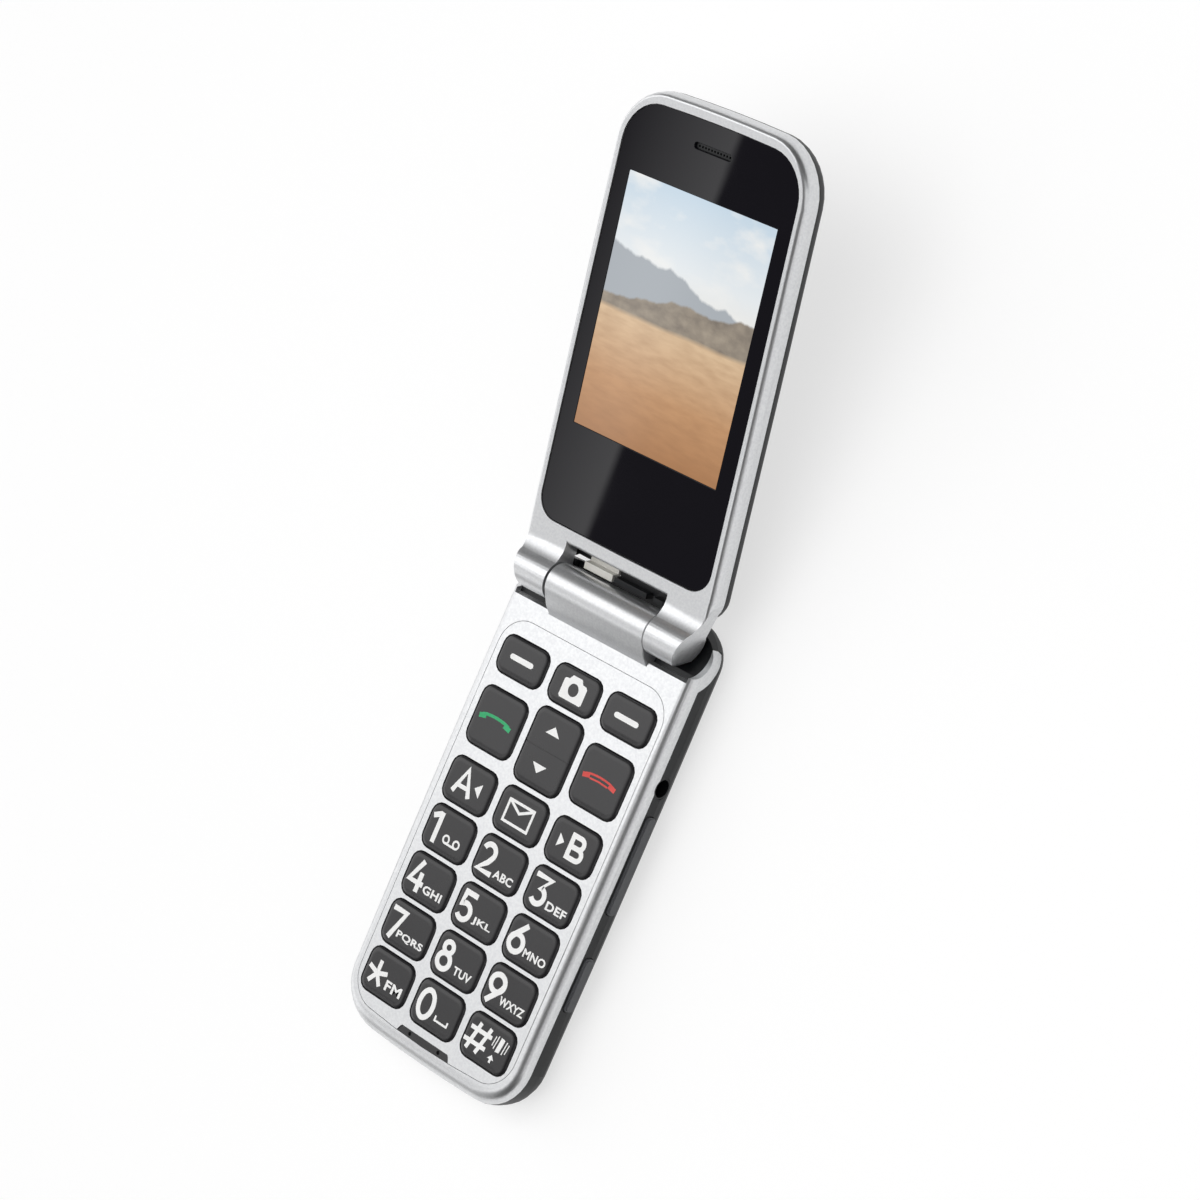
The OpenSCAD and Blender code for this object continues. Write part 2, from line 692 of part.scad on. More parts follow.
module microphone() color(steel) {
    box(-1.5, 1.5, panel_y0 + 0.95, panel_y0 + 2.55, board_top, board_top + 0.9);
}

module headphone_jack() color(black) {
    x1 = half_w - 0.12 - side_bow * pow(socket_y / half_len, 2);
    x0 = half_w - jack_depth - 2.5;
    difference() {
        union() {
            rod(cavity_x - 1, x1, socket_y, jack_z, jack_r + 0.35);
            box(x0, cavity_x - 0.15, socket_y - 3, socket_y + 3, jack_z - 2.15, jack_z + 2.1);
        }
        rod(x1 - jack_depth, far, socket_y, jack_z, jack_r);
    }
}

module usb_socket() color(steel) difference() {
    x0 = -half_w + 0.3 + side_bow * pow(socket_y / half_len, 2);
    translate([x0, 0, 0]) rotate([90, 0, 90]) linear_extrude(usb_depth)
        polygon(pill(socket_y, usb_z, usb_w, usb_h, 0.6));
    translate([x0 - 1, 0, 0]) rotate([90, 0, 90]) linear_extrude(usb_depth + 0.4)
        polygon(pill(socket_y, usb_z, usb_w - 0.6, usb_h - 0.6, 0.4));
    box(x0 + 0.6, x0 + usb_depth - 0.5, socket_y - 1.9, socket_y + 1.9, usb_z - 0.9, usb_z - 0.35);
}

module side_key_board() color(board_green) {
    box(side_board_x, side_board_x + side_board_t, side_key_y - 6, rocker_y + 9.6,
        side_pocket_z, board_z - 0.1);
}

// A side key: cap, inner flange that holds it in the wall, and the nubs that press the switches
module side_cap(y, length, flange_in, nubs) {
    x1 = half_w + side_key_proud - side_bow * pow(y / half_len, 2);
    z = side_key_z;
    translate([flange_in, 0, 0]) rotate([90, 0, 90]) linear_extrude(x1 - 0.3 - flange_in)
        polygon(pill(y, z, length, side_key_h, 0.9));
    translate([x1 - 0.31, 0, 0]) rotate([90, 0, 90]) linear_extrude(0.31)
        polygon(pill(y, z, length - 0.5, side_key_h - 0.5, 0.7));
    box(flange_in, cavity_x - 0.35, y - length / 2 - 0.6, y + length / 2 + 0.6, z - 1.6, z + 1.6);
    for (s = nubs) box(side_board_x + side_board_t + 0.02 + side_key_travel, flange_in + eps,
                       y + s - 0.6, y + s + 0.6, z - 0.8, z + 0.6);
}

module volume_rocker() color(side_grey) {
    side_cap(rocker_y, rocker_len, side_board_x + 1.3, [-5.5, 5.5]);
}

module side_key() color(side_grey) {
    side_cap(side_key_y, side_key_len, side_board_x + 1.4, [0]);
}

module screw(h) {
    cylinder(h = screw_head_h, r = screw_head_r);
    cylinder(h = h, r = screw_r);
}

module base_screws() color(steel) {
    for (p = base_screw_places) translate([p.x, p.y, screw_sink - screw_head_h - 0.02]) difference() {
        screw(ledge_z - screw_sink);
        translate([0, 0, -eps]) for (a = [0, 90]) rotate(a) translate([-0.8, -0.15, 0]) cube([1.6, 0.3, 0.4]);
    }
}

module hinge_module() color(steel) {
    w = barrel_w / 2;
    rod(-w + 0.05, 1, hinge_y, hinge_h, module_r);
    rod(-w - 5.5, -w + 0.1, hinge_y, hinge_h, pin_r);
}

module hinge_sleeve() color(steel) difference() {
    w = barrel_w / 2;
    rod(w - 4, w - 0.05, hinge_y, hinge_h, module_r);
    rod(w - 5, w + 1, hinge_y, hinge_h, pin_r + pin_fit);
}

module hinge_pin() color(steel) on_lid() {
    w = barrel_w / 2;
    rod(w - 3.9, w + 5.5, 0, 0, pin_r);
}

// ---------- keys ----------

module key_cap(k) color(key_grey) {
    edge = 0.25;
    loft([
        lifted(key_outline(k, 0), flange_z),
        lifted(key_outline(k, 0), key_top - edge),
        lifted(key_outline(k, -0.4 * edge), key_top - 0.3 * edge),
        lifted(key_outline(k, -edge), key_top)
    ]);
}

module key_flange(k) color(key_grey) {
    slab(key_outline(k, flange_w), flange_z, flange_z + flange_t);
}

module pressed_key(k) {
    key_cap(k);
    key_flange(k);
}

module key_soft_left() pressed_key(keys[0]);
module key_camera() pressed_key(keys[1]);
module key_soft_right() pressed_key(keys[2]);
module key_call() pressed_key(keys[3]);
module key_end() pressed_key(keys[5]);
module key_star() pressed_key(keys[6]);
module key_0() pressed_key(keys[7]);
module key_hash() pressed_key(keys[8]);
module key_7() pressed_key(keys[9]);
module key_8() pressed_key(keys[10]);
module key_9() pressed_key(keys[11]);
module key_4() pressed_key(keys[12]);
module key_5() pressed_key(keys[13]);
module key_6() pressed_key(keys[14]);
module key_1() pressed_key(keys[15]);
module key_2() pressed_key(keys[16]);
module key_3() pressed_key(keys[17]);
module key_a() pressed_key(keys[18]);
module key_message() pressed_key(keys[19]);
module key_b() pressed_key(keys[20]);

// The navigation key rocks on two ears beside its middle
module key_nav() {
    key_cap(keys[4]);
    color(key_grey) box(-key_w / 2 - flange_w, key_w / 2 + flange_w, nav_row - 1.5, nav_row + 1.5,
                        flange_z, flange_z + flange_t - 0.05);
}

// ---------- lid, in its own axes ----------

// Side view of a knuckle and the neck that joins it to the frame
neck_y = 6.9;
neck_z = split_z + 0.35;
neck = [
    [0, neck_z], [0, 0], [knuckle_r * cos(23), knuckle_r * sin(23)], [4.45, 0.95], [5.6, 0.2],
    [neck_y, lid_top], [neck_y + 3, lid_top], [neck_y + 3, neck_z]
];

module cheek() {
    side = lid_half_w - 0.05;
    difference() {
        intersection() {
            union() {
                rod(knuckle_x, lid_half_w, 0, 0, knuckle_r);
                translate([knuckle_x, 0, 0]) rotate([90, 0, 90])
                    linear_extrude(lid_half_w - knuckle_x) polygon(neck);
            }
            // Plan of the knuckle: its outer end slants out to the side of the lid
            slab([[0, -far], [knuckle_reach - 1.1, -far], [knuckle_reach - 1.1, -knuckle_r],
                  [knuckle_reach, 1 - knuckle_r], [side, neck_y + 2.1], [side, far], [0, far]],
                 -far, far);
        }
        // Rounded edge that runs on from the frame's rim
        translate([0, neck_y + 5, 0]) rotate([90, 0, 0]) linear_extrude(6.4) polygon(concat(
            [[side + 3, lid_top - lid_rim_drop], [side + 3, lid_top + 1],
             [side - lid_rim_r, lid_top + 1]],
            [for (i = [0:2 * rim_steps]) let (a = 45 * i / rim_steps)
                [side - lid_rim_r * (1 - sin(a)), lid_top - lid_rim_drop * (1 - cos(a))]]
        ));
    }
}

module lid_frame() color(silver) on_lid() difference() {
    union() {
        difference() {
            intersection() {
                lid_form();
                box(-far, far, -far, far, split_z, far);
            }
            box(-knuckle_x, knuckle_x, -far, lid_foot_y, -far, far);
        }
        both_sides() cheek();
    }
    // Rounded edge between the knuckles
    difference() {
        box(-knuckle_x, knuckle_x, 0, lid_foot_y + lid_rim_r, lid_top - lid_rim_r, far);
        rod(-far, far, lid_foot_y + lid_rim_r, lid_top - lid_rim_r, lid_rim_r);
    }
    slab(window_outline(panel_fit), window_z0, far);
    difference() {
        slab(window_outline(-window_seat), split_z - 1, window_z0 + eps);
        for (p = lid_screw_places) translate([p.x, p.y, split_z]) cylinder(h = 9, r = lid_post_r);
    }
    for (p = lid_screw_places) translate([p.x, p.y, split_z - 1]) {
        cylinder(h = far, r = lid_screw_r + 0.05);
        translate([0, 0, window_z0 - 0.9 - split_z + 1]) cylinder(h = 2, r = 1.15);
    }
    rod(-barrel_w / 2 - 6, 0, 0, 0, pin_r + pin_fit);
    rod(0, barrel_w / 2 + 6, 0, 0, pin_r);
}

window_points = outline(window_w / 2, window_y0, window_y1, window_foot_r, window_top_r);

function window_outline(grow) =
    [for (p = window_points) tapered(p.x + grow * p[2], p.y + grow * p[3])];

module lid_window() color(black) on_lid() difference() {
    slab(window_outline(0), window_z0, window_z);
    box(-screen_w / 2, screen_w / 2, screen_y, screen_y + screen_h, -far, far);
    slab(pill(0, ear_slot_y, ear_slot_w, ear_slot_h, ear_slot_h / 2 - 0.02), -far, far);
}

module display_module() color("#27323d") on_lid() {
    box(panel_fit / 2 - screen_w / 2, screen_w / 2 - panel_fit / 2, screen_y + panel_fit / 2,
        screen_y + screen_h - panel_fit / 2, display_z - eps, window_z - 0.02);
    box(-screen_w / 2 - 0.9, screen_w / 2 + 0.9, screen_y - 4.5, screen_y + screen_h + 1.5,
        display_z - display_t, display_z);
}

module lid_cover() color(black) on_lid() difference() {
    intersection() {
        lid_form();
        box(-far, far, -far, far, -far, split_z - 0.02);
    }
    // Hollow for the display and its board, with a shelf at the hinge for the flat cable
    difference() {
        intersection() {
            slab(lid_outline(lid_wall), cavity_z, 0);
            box(-far, far, neck_y + 3.1, far, -far, far);
        }
        for (p = lid_screw_places) translate([p.x, p.y, -far]) cylinder(h = far, r = lid_post_r);
        for (p = stud_places) translate([p.x, p.y, -far])
            cylinder(h = far + lid_board_z - lid_board_t, r = 1.5);
    }
    for (p = lid_screw_places) translate([p.x, p.y, cavity_z]) cylinder(h = far, r = lid_screw_r);
    box(-knuckle_x, knuckle_x, -far, neck_y + 3.2, shelf_z, 0);
    translate([0, camera_y, lid_bottom - 1]) cylinder(h = 1.7, r = camera_r + panel_fit);
    translate([0, camera_y, lid_bottom]) cylinder(h = 4, r = 2.6);
}

shelf_z = split_z - 1;

module lid_board() color(board_green) on_lid() difference() {
    slab(pill(0, screen_y + screen_h / 2 - 2, screen_w + 1, screen_h - 4, 2),
         lid_board_z - lid_board_t, lid_board_z);
    box(-5, 5, camera_y - 5, far, -far, far);
}

module earpiece() color(black) on_lid() {
    slab(pill(0, ear_slot_y, 12, 5, 2.2), window_z0 - 2.2, window_z0);
}

module earpiece_mesh() color("#3a3b3f") on_lid() difference() {
    slab(pill(0, ear_slot_y, ear_slot_w - 0.1, ear_slot_h - 0.1, ear_slot_h / 2 - 0.08),
         window_z0 + 0.02, window_z0 + 0.5);
    for (i = [-5:5]) translate([i * 0.75, ear_slot_y, window_z0]) cylinder(h = 2, r = 0.22);
}

module camera_module() color(steel) on_lid() {
    box(-4, 4, camera_y - 4, camera_y + 4, cavity_z + 0.02, cavity_z + 2.2);
    translate([0, camera_y, lid_bottom + 0.72]) cylinder(h = lid_wall, r = 2.5);
}

module camera_window() color(black) on_lid() {
    translate([0, camera_y, lid_bottom]) cylinder(h = 0.7, r = camera_r);
}

module lid_screws() color(steel) on_lid() {
    for (p = lid_screw_places) translate([p.x, p.y, window_z0 - 3.6]) {
        cylinder(h = 3.5, r = lid_screw_r);
        translate([0, 0, 2.7]) cylinder(h = 0.85, r = 1);
    }
}

module flex_cable() color(white) on_lid() {
    box(-9.8, -2.4, 3.8, lid_foot_y + 2, shelf_z, shelf_z + 0.6);
    box(-9.8, -2.4, 3.8, 5.2, shelf_z + 0.5, shelf_z + 2.15);
}

module flex_guard() color(black) on_lid() {
    box(-1.9, 6.6, 3.9, 5.05, shelf_z, shelf_z + 2.15);
    box(8.4, 10.8, 4.1, 5.05, shelf_z, shelf_z + 2.15);
    box(-1.9, 10.8, 4.5, 6.2, shelf_z, shelf_z + 0.5);
}

base_frame();
keypad_plate();
hinge_barrel();
base_shell();
battery_cover();
battery();
battery_contacts();
sim_holder();
main_board();
dome_sheet();
keypad_mat();
shield_can();
loudspeaker();
vibration_motor();
antenna();
microphone();
microphone_grille();
headphone_jack();
usb_socket();
side_key_board();
base_screws();
hinge_module();
hinge_sleeve();
hinge_pin();
lid_frame();
lid_window();
display_module();
lid_cover();
lid_board();
earpiece();
earpiece_mesh();
camera_module();
camera_window();
lid_screws();
flex_cable();
flex_guard();
volume_rocker();
side_key();
key_soft_left();
key_camera();
key_soft_right();
key_call();
key_nav();
key_end();
key_a();
key_message();
key_b();
key_1();
key_2();
key_3();
key_4();
key_5();
key_6();
key_7();
key_8();
key_9();
key_star();
key_0();
key_hash();
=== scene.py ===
"""Studio scene of an open flip phone with large keys.

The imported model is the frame. This script dresses its pieces, rounds and finishes the surfaces that
show, prints the keys, and sets the camera, lamps and floor.
"""

from __future__ import annotations

import json
import logging
import math
from dataclasses import dataclass
from enum import Enum
from typing import Any, Callable, Iterable, Sequence

import bmesh
import bpy
from mathutils import Matrix, Vector

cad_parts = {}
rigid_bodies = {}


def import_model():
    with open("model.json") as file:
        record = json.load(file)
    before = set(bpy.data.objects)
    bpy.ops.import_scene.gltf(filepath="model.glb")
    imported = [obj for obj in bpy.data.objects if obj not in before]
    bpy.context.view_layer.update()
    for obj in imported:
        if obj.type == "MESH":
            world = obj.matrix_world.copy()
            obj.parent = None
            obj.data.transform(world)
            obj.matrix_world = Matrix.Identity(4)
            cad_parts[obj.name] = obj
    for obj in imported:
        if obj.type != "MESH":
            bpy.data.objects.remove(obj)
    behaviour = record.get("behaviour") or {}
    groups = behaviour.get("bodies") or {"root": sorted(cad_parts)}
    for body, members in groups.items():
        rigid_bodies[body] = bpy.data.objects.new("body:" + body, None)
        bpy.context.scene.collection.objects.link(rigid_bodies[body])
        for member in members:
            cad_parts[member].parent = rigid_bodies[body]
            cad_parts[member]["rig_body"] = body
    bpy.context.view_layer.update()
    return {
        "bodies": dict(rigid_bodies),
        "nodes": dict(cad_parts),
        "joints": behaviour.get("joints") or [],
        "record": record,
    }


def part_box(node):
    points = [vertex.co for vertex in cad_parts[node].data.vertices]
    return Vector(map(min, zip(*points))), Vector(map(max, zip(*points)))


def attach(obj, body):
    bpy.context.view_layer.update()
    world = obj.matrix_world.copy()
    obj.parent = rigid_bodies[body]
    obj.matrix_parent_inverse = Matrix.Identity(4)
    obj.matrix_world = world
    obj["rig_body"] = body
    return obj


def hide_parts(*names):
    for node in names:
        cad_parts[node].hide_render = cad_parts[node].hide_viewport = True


LOG = logging.getLogger("flip_phone")
Point = tuple[float, float]
Triple = tuple[float, float, float]
Stops = tuple[tuple[float, str], ...]
Socket = Any

# One millimetre in metres
MM = 0.001
# Largest angles in degrees: between flat faces, across shaded curves, beside edges left sharp
FLAT_ANGLE, SMOOTH_ANGLE, EDGE_ANGLE = 0.3, 35.0, 40.0
# Steps across a broken edge
EDGE_STEPS = 2
# Distances in mm: vertices that are one, edges that are none, vertices that lie in one plane
JOIN_GAP, NO_EDGE, SAME_PLANE = 0.002, 0.001, 0.01
# Least upward part of the normal of a level face, and of one that faces up at all
LEVEL, UPWARDS = 0.99, 0.3
# Least cosine that a mitre is drawn out to
SHARPEST_MITRE = 0.72
# Extra weight, spacing and steps of the small capitals
LETTER_WEIGHT, LETTER_SPACE, LETTER_STEPS = 0.03, 1.06, 4
# Steps round a ring, and degrees between the points of an arc
RING_STEPS, ARC_STEP = 36, 12
# Height of each stroke above the one before it in mm, so that no two lie in one plane
INK_LAYER = 0.003
# Width of the strokes of a number in mm
DIGIT_STROKE = 1.08
# Layers of detail in the noise of colour patches and of grain, and how fully the grain shows
PATCH_DETAIL, GRAIN_DETAIL, GRAIN_STRENGTH = 3.0, 2.0, 0.5
# Noise levels between which a patch's colour changes, and its roughness
COLOUR_EDGES, ROUGH_EDGES = (0.35, 0.65), (0.3, 0.7)
COAT_ROUGHNESS = 0.08
# Sockets of the node that carries one range of numbers over to another
RANGE = ("Value", "From Min", "From Max", "To Min", "To Max")


class Slot(Enum):
    """Names of the record's material slots."""

    SILVER = "silver_paint"
    BLACK = "black_plastic"
    WINDOW = "black_window"
    KEYS = "grey_keys"
    SIDE_KEYS = "grey_side_keys"
    FILM = "white_film"


class Ink(Enum):
    """Printing colours of the keys."""

    WHITE = "white"
    GREEN = "green"
    RED = "red"


def linear(code: str) -> tuple[float, float, float, float]:
    """Turn an sRGB colour into linear light.

    Args:
        code: Colour as six hex digits, with or without a leading hash.

    Returns:
        Linear red, green, blue and an alpha of 1.
    """
    code = code.lstrip("#")
    parts = [int(code[i : i + 2], 16) / 255 for i in (0, 2, 4)]
    red, green, blue = (c / 12.92 if c <= 0.04045 else ((c + 0.055) / 1.055) ** 2.4 for c in parts)
    return red, green, blue, 1.0


def add_node(
    tree: bpy.types.NodeTree, kind: str, inputs: dict[Any, Any] | None = None, **settings: Any
) -> bpy.types.Node:
    """Add a node, set its properties and fill or link its sockets.

    Args:
        tree: Node tree that gets the node.
        kind: Blender's name of the node type, without ShaderNode at its head.
        inputs: Socket name or number to a value or to another node's output.
        settings: Properties of the node itself.

    Returns:
        The new node.
    """
    node = tree.nodes.new(f"ShaderNode{kind}")
    for key, value in settings.items():
        setattr(node, key, value)
    for key, value in (inputs or {}).items():
        if isinstance(value, bpy.types.NodeSocket):
            tree.links.new(value, node.inputs[key])
        else:
            node.inputs[key].default_value = value
    return node


def set_ramp(node: bpy.types.Node, stops: Stops) -> None:
    """Give a colour ramp its stops.

    Args:
        node: The colour ramp.
        stops: Place along the ramp and sRGB colour, in rising order.
    """
    elements = node.color_ramp.elements
    while len(elements) < len(stops):
        elements.new(0.5)
    for element, (place, code) in zip(elements, stops):
        element.position = place
        element.color = linear(code)


@dataclass(frozen=True)
class Finish:
    """A moulded, painted, plated or stamped surface.

    Attributes:
        name: The real material and its finish.
        colour: Main colour in sRGB.
        shade: Second colour of the soft patches in sRGB.
        roughness: Mean roughness.
        metallic: Share of metal.
        coat: Weight of a clear coat.
        patch_mm: Size of the colour patches.
        grain_mm: Size of the surface grain.
        grain_height_mm: Height of the surface grain.
        spread: Change of roughness over the patches.
        specular: Specular level of the plastic.
    """

    name: str
    colour: str
    shade: str
    roughness: float
    metallic: float = 0.0
    coat: float = 0.0
    patch_mm: float = 9.0
    grain_mm: float = 0.3
    grain_height_mm: float = 0.004
    spread: float = 0.04
    specular: float = 0.5

    def start(self) -> tuple[bpy.types.Material, bpy.types.NodeTree, bpy.types.Node]:
        """Make the material with its constant values on the shader's own sockets.

        Returns:
            The material, its node tree and its Principled shader.
        """
        material = bpy.data.materials.new(self.name)
        material.use_nodes = True
        tree = material.node_tree
        shader = tree.nodes["Principled BSDF"]
        shader.inputs["Base Color"].default_value = linear(self.colour)
        shader.inputs["Metallic"].default_value = self.metallic
        shader.inputs["Roughness"].default_value = self.roughness
        shader.inputs["Specular IOR Level"].default_value = self.specular
        shader.inputs["Coat Weight"].default_value = self.coat
        shader.inputs["Coat Roughness"].default_value = COAT_ROUGHNESS
        return material, tree, shader

    def add_patches(self, tree: bpy.types.NodeTree, shader: bpy.types.Node) -> bpy.types.Node:
        """Vary colour and roughness softly over the piece.

        Args:
            tree: The material's nodes.
            shader: The Principled shader.

        Returns:
            The texture coordinate node.
        """
        place = add_node(tree, "TexCoord")
        cloud = add_node(tree, "TexNoise", {
            "Vector": place.outputs["Object"],
            "Scale": 1 / (self.patch_mm * MM),
            "Detail": PATCH_DETAIL,
        })
        ramp = add_node(tree, "ValToRGB", {"Fac": cloud.outputs["Fac"]})
        set_ramp(ramp, tuple(zip(COLOUR_EDGES, (self.colour, self.shade))))
        tree.links.new(ramp.outputs["Color"], shader.inputs["Base Color"])
        smooth, dull = self.roughness - self.spread, self.roughness + self.spread
        ends = (cloud.outputs["Fac"], *ROUGH_EDGES, smooth, dull)
        rough = add_node(tree, "MapRange", dict(zip(RANGE, ends)))
        tree.links.new(rough.outputs["Result"], shader.inputs["Roughness"])
        return place

    def add_grain(
        self, tree: bpy.types.NodeTree, shader: bpy.types.Node, place: bpy.types.Node
    ) -> None:
        """Give the surface its fine grain.

        Args:
            tree: The material's nodes.
            shader: The Principled shader.
            place: The texture coordinate node.
        """
        grain = add_node(tree, "TexNoise", {
            "Vector": place.outputs["Object"],
            "Scale": 1 / (self.grain_mm * MM),
            "Detail": GRAIN_DETAIL,
        })
        bump = add_node(tree, "Bump", {
            "Height": grain.outputs["Fac"],
            "Strength": GRAIN_STRENGTH,
            "Distance": self.grain_height_mm * MM,
        })
        tree.links.new(bump.outputs["Normal"], shader.inputs["Normal"])

    def build(self) -> bpy.types.Material:
        """Make the whole material."""
        material, tree, shader = self.start()
        self.add_grain(tree, shader, self.add_patches(tree, shader))
        return material


@dataclass(frozen=True)
class Noise:
    """Soft noise over the panel's picture.

    Attributes:
        stretch: How closely it repeats across and up the picture.
        scale: How closely it repeats altogether.
        detail: Its layers of detail.
    """

    stretch: Point
    scale: float
    detail: float


@dataclass(frozen=True)
class Layer:
    """Layer of the picture that shows where its depth is great enough.

    Attributes:
        noise: What makes its edge uneven.
        relief: How much the noise adds to the depth.
        slope: How much the depth changes across and up the picture.
        edges: Depths between which the layer comes in.
        share: How strongly it shows.
    """

    noise: Noise
    relief: float
    slope: Point
    edges: Point
    share: float = 1.0


@dataclass(frozen=True)
class Wallpaper(Finish):
    """Liquid crystal panel that shows a made-up empty shore under a pale sky.

    Attributes:
        tilt: Angle of the lid above flat, in degrees.
        hinge: Hinge axis in the frame, y and z in mm.
        foot: Distance from the hinge axis to the picture's lower edge in mm.
        width: Width of the picture in mm.
        height: Height of the picture in mm.
        glow: Strength of the panel's light, 1 being white.
        sky: Colours up the sky.
        haze: Haze in the sky.
        far_hills: Far hills.
        near_hills: Near hills.
        rock: Pattern of the near hills.
        stone: Colours of the near hills.
        shore: Sand in front.
        sand: Colours up the sand.
        ripples: Ripples in the sand.
    """

    tilt: float = 16.15
    hinge: Point = (45.0, 12.0)
    foot: float = 30.2
    width: float = 36.7
    height: float = 49.0
    glow: float = 0.92
    sky: Stops = ((0.55, "F5F1EA"), (0.72, "EBF0F3"), (1.0, "CBDDEB"))
    haze: Layer = Layer(Noise((1.0, 2.6), 3.0, 4.0), 1.0, (0.0, 0.0), (0.5, 0.72))
    far_hills: Layer = Layer(Noise((1.6, 0.0), 2.2, 5.0), 0.16, (-0.12, -1.0), (-0.66, -0.648))
    near_hills: Layer = Layer(Noise((1.0, 0.0), 3.1, 6.0), 0.13, (0.1, -1.0), (-0.47, -0.46))
    rock: Noise = Noise((1.0, 2.0), 9.0, 6.0)
    stone: Stops = ((0.3, "7F766C"), (0.7, "A99D8D"))
    shore: Layer = Layer(Noise((1.0, 0.0), 1.3, 2.0), 0.05, (0.0, -1.0), (-0.47, -0.45))
    sand: Stops = ((0.0, "B07F57"), (0.22, "C99A70"), (0.5, "E3C6A2"))
    ripples: Layer = Layer(Noise((1.0, 5.0), 7.0, 6.0), 1.0, (0.0, 0.0), (0.35, 0.75), 0.35)

    def spot(self, tree: bpy.types.NodeTree) -> Socket:
        """Lay the picture's own axes on the panel.

        Args:
            tree: The material's nodes.

        Returns:
            Socket whose x and y run from 0 to 1 across and up the picture.
        """
        place = add_node(tree, "TexCoord")
        turn = Matrix.Rotation(-math.radians(self.tilt), 3, "X")
        shift = -(turn @ Vector((0, self.hinge[0] * MM, self.hinge[1] * MM)))
        shift += Vector((self.width / 2 * MM, -self.foot * MM, 0))
        onto = add_node(tree, "Mapping", {
            "Vector": place.outputs["Object"],
            "Location": shift,
            "Rotation": (-math.radians(self.tilt), 0, 0),
        })
        return add_node(
            tree,
            "VectorMath",
            {0: onto.outputs["Vector"], 1: (1 / (self.width * MM), 1 / (self.height * MM), 1)},
            operation="MULTIPLY",
        ).outputs[0]

    @staticmethod
    def cloud(tree: bpy.types.NodeTree, spot: Socket, noise: Noise) -> Socket:
        """Spread soft noise over the picture.

        Args:
            tree: The material's nodes.
            spot: The picture's own axes.
            noise: The noise.

        Returns:
            Socket of its level.
        """
        drawn = add_node(
            tree, "VectorMath", {0: spot, 1: (*noise.stretch, 0)}, operation="MULTIPLY"
        )
        return add_node(
            tree,
            "TexNoise",
            {"Vector": drawn.outputs[0], "Scale": noise.scale, "Detail": noise.detail},
        ).outputs["Fac"]

    def lay(
        self, tree: bpy.types.NodeTree, spot: Socket, layer: Layer, under: Socket, over: Any
    ) -> Socket:
        """Lay a layer over the picture.

        Args:
            tree: The material's nodes.
            spot: The picture's own axes.
            layer: Where it shows.
            under: Colour behind it.
            over: Its own colour, a socket or a value.

        Returns:
            Socket of the new colour.
        """
        lean = add_node(
            tree, "VectorMath", {0: spot, 1: (*layer.slope, 0)}, operation="DOT_PRODUCT"
        )
        depth = add_node(
            tree,
            "Math",
            {0: self.cloud(tree, spot, layer.noise), 1: layer.relief, 2: lean.outputs["Value"]},
            operation="MULTIPLY_ADD",
        )
        share = add_node(
            tree, "MapRange", dict(zip(RANGE, (depth.outputs[0], *layer.edges, 0.0, layer.share))),
        )
        return add_node(
            tree, "Mix", {0: share.outputs["Result"], 6: under, 7: over}, data_type="RGBA",
        ).outputs[2]

    def build(self) -> bpy.types.Material:
        """Make the panel's material, with the picture as its own light."""
        material, tree, shader = self.start()
        spot = self.spot(tree)
        up = add_node(tree, "SeparateXYZ", {0: spot}).outputs["Y"]
        rock = self.cloud(tree, spot, self.rock)
        sky, stone, sand = (add_node(tree, "ValToRGB", {"Fac": place}) for place in (up, rock, up))
        for ramp, stops in ((sky, self.sky), (stone, self.stone), (sand, self.sand)):
            set_ramp(ramp, stops)
        beach = self.lay(tree, spot, self.ripples, sand.outputs[0], linear("9A7150"))
        picture = self.lay(tree, spot, self.haze, sky.outputs[0], linear("F6F6F4"))
        picture = self.lay(tree, spot, self.far_hills, picture, linear("AEB4BA"))
        picture = self.lay(tree, spot, self.near_hills, picture, stone.outputs[0])
        picture = self.lay(tree, spot, self.shore, picture, beach)
        tree.links.new(picture, shader.inputs["Emission Color"])
        shader.inputs["Emission Strength"].default_value = self.glow
        return material


# Satin silver lacquer on moulded ABS: a pale, slightly metallic coat that softens every reflection
SILVER_LACQUER = Finish(
    "satin_silver_lacquer_on_abs", "E6E7E8", "DCDDDF", 0.3, metallic=0.85, grain_mm=0.4,
    grain_height_mm=0.0014, patch_mm=0.5, spread=0.02,
)
# Moulded ABS, spark-eroded tool face: dull black with a fine grain
BLACK_ABS = Finish(
    "spark_grained_black_abs", "131416", "151618", 0.42, grain_mm=0.4, grain_height_mm=0.01,
    specular=0.4, spread=0.02,
)
# Clear cast acrylic, printed black behind: deep black under a hard gloss
BLACK_ACRYLIC = Finish(
    "gloss_black_backed_acrylic", "0C0A11", "0D0B12", 0.016, grain_mm=6.0, grain_height_mm=0.0005,
    spread=0.004, specular=0.3,
)
# Moulded PC/ABS key caps: dark grey, half gloss
KEY_PLASTIC = Finish(
    "half_gloss_dark_grey_abs", "222123", "252426", 0.26, grain_mm=0.35, grain_height_mm=0.003,
    specular=0.62, spread=0.02,
)
# Moulded ABS side keys: satin mid grey
SIDE_KEY_PLASTIC = Finish(
    "satin_grey_abs", "4C4D50", "515255", 0.42, grain_mm=0.35, grain_height_mm=0.008,
)
# Screen-printed legends: thick, slightly rough ink
WHITE_INK = Finish("white_screen_ink", "F8F8F7", "F4F4F3", 0.5, grain_mm=0.2, patch_mm=2.0)
GREEN_INK = Finish("green_screen_ink", "2FB173", "28A869", 0.5, grain_mm=0.2, patch_mm=2.0)
RED_INK = Finish("red_screen_ink", "DD4A44", "D2443E", 0.5, grain_mm=0.2, patch_mm=2.0)
# Rolled steel sheet and turned pins: plain grey metal
STEEL = Finish(
    "plain_rolled_steel", "9AA0A6", "8D9399", 0.34, metallic=1.0, grain_mm=0.5, patch_mm=5.0,
)
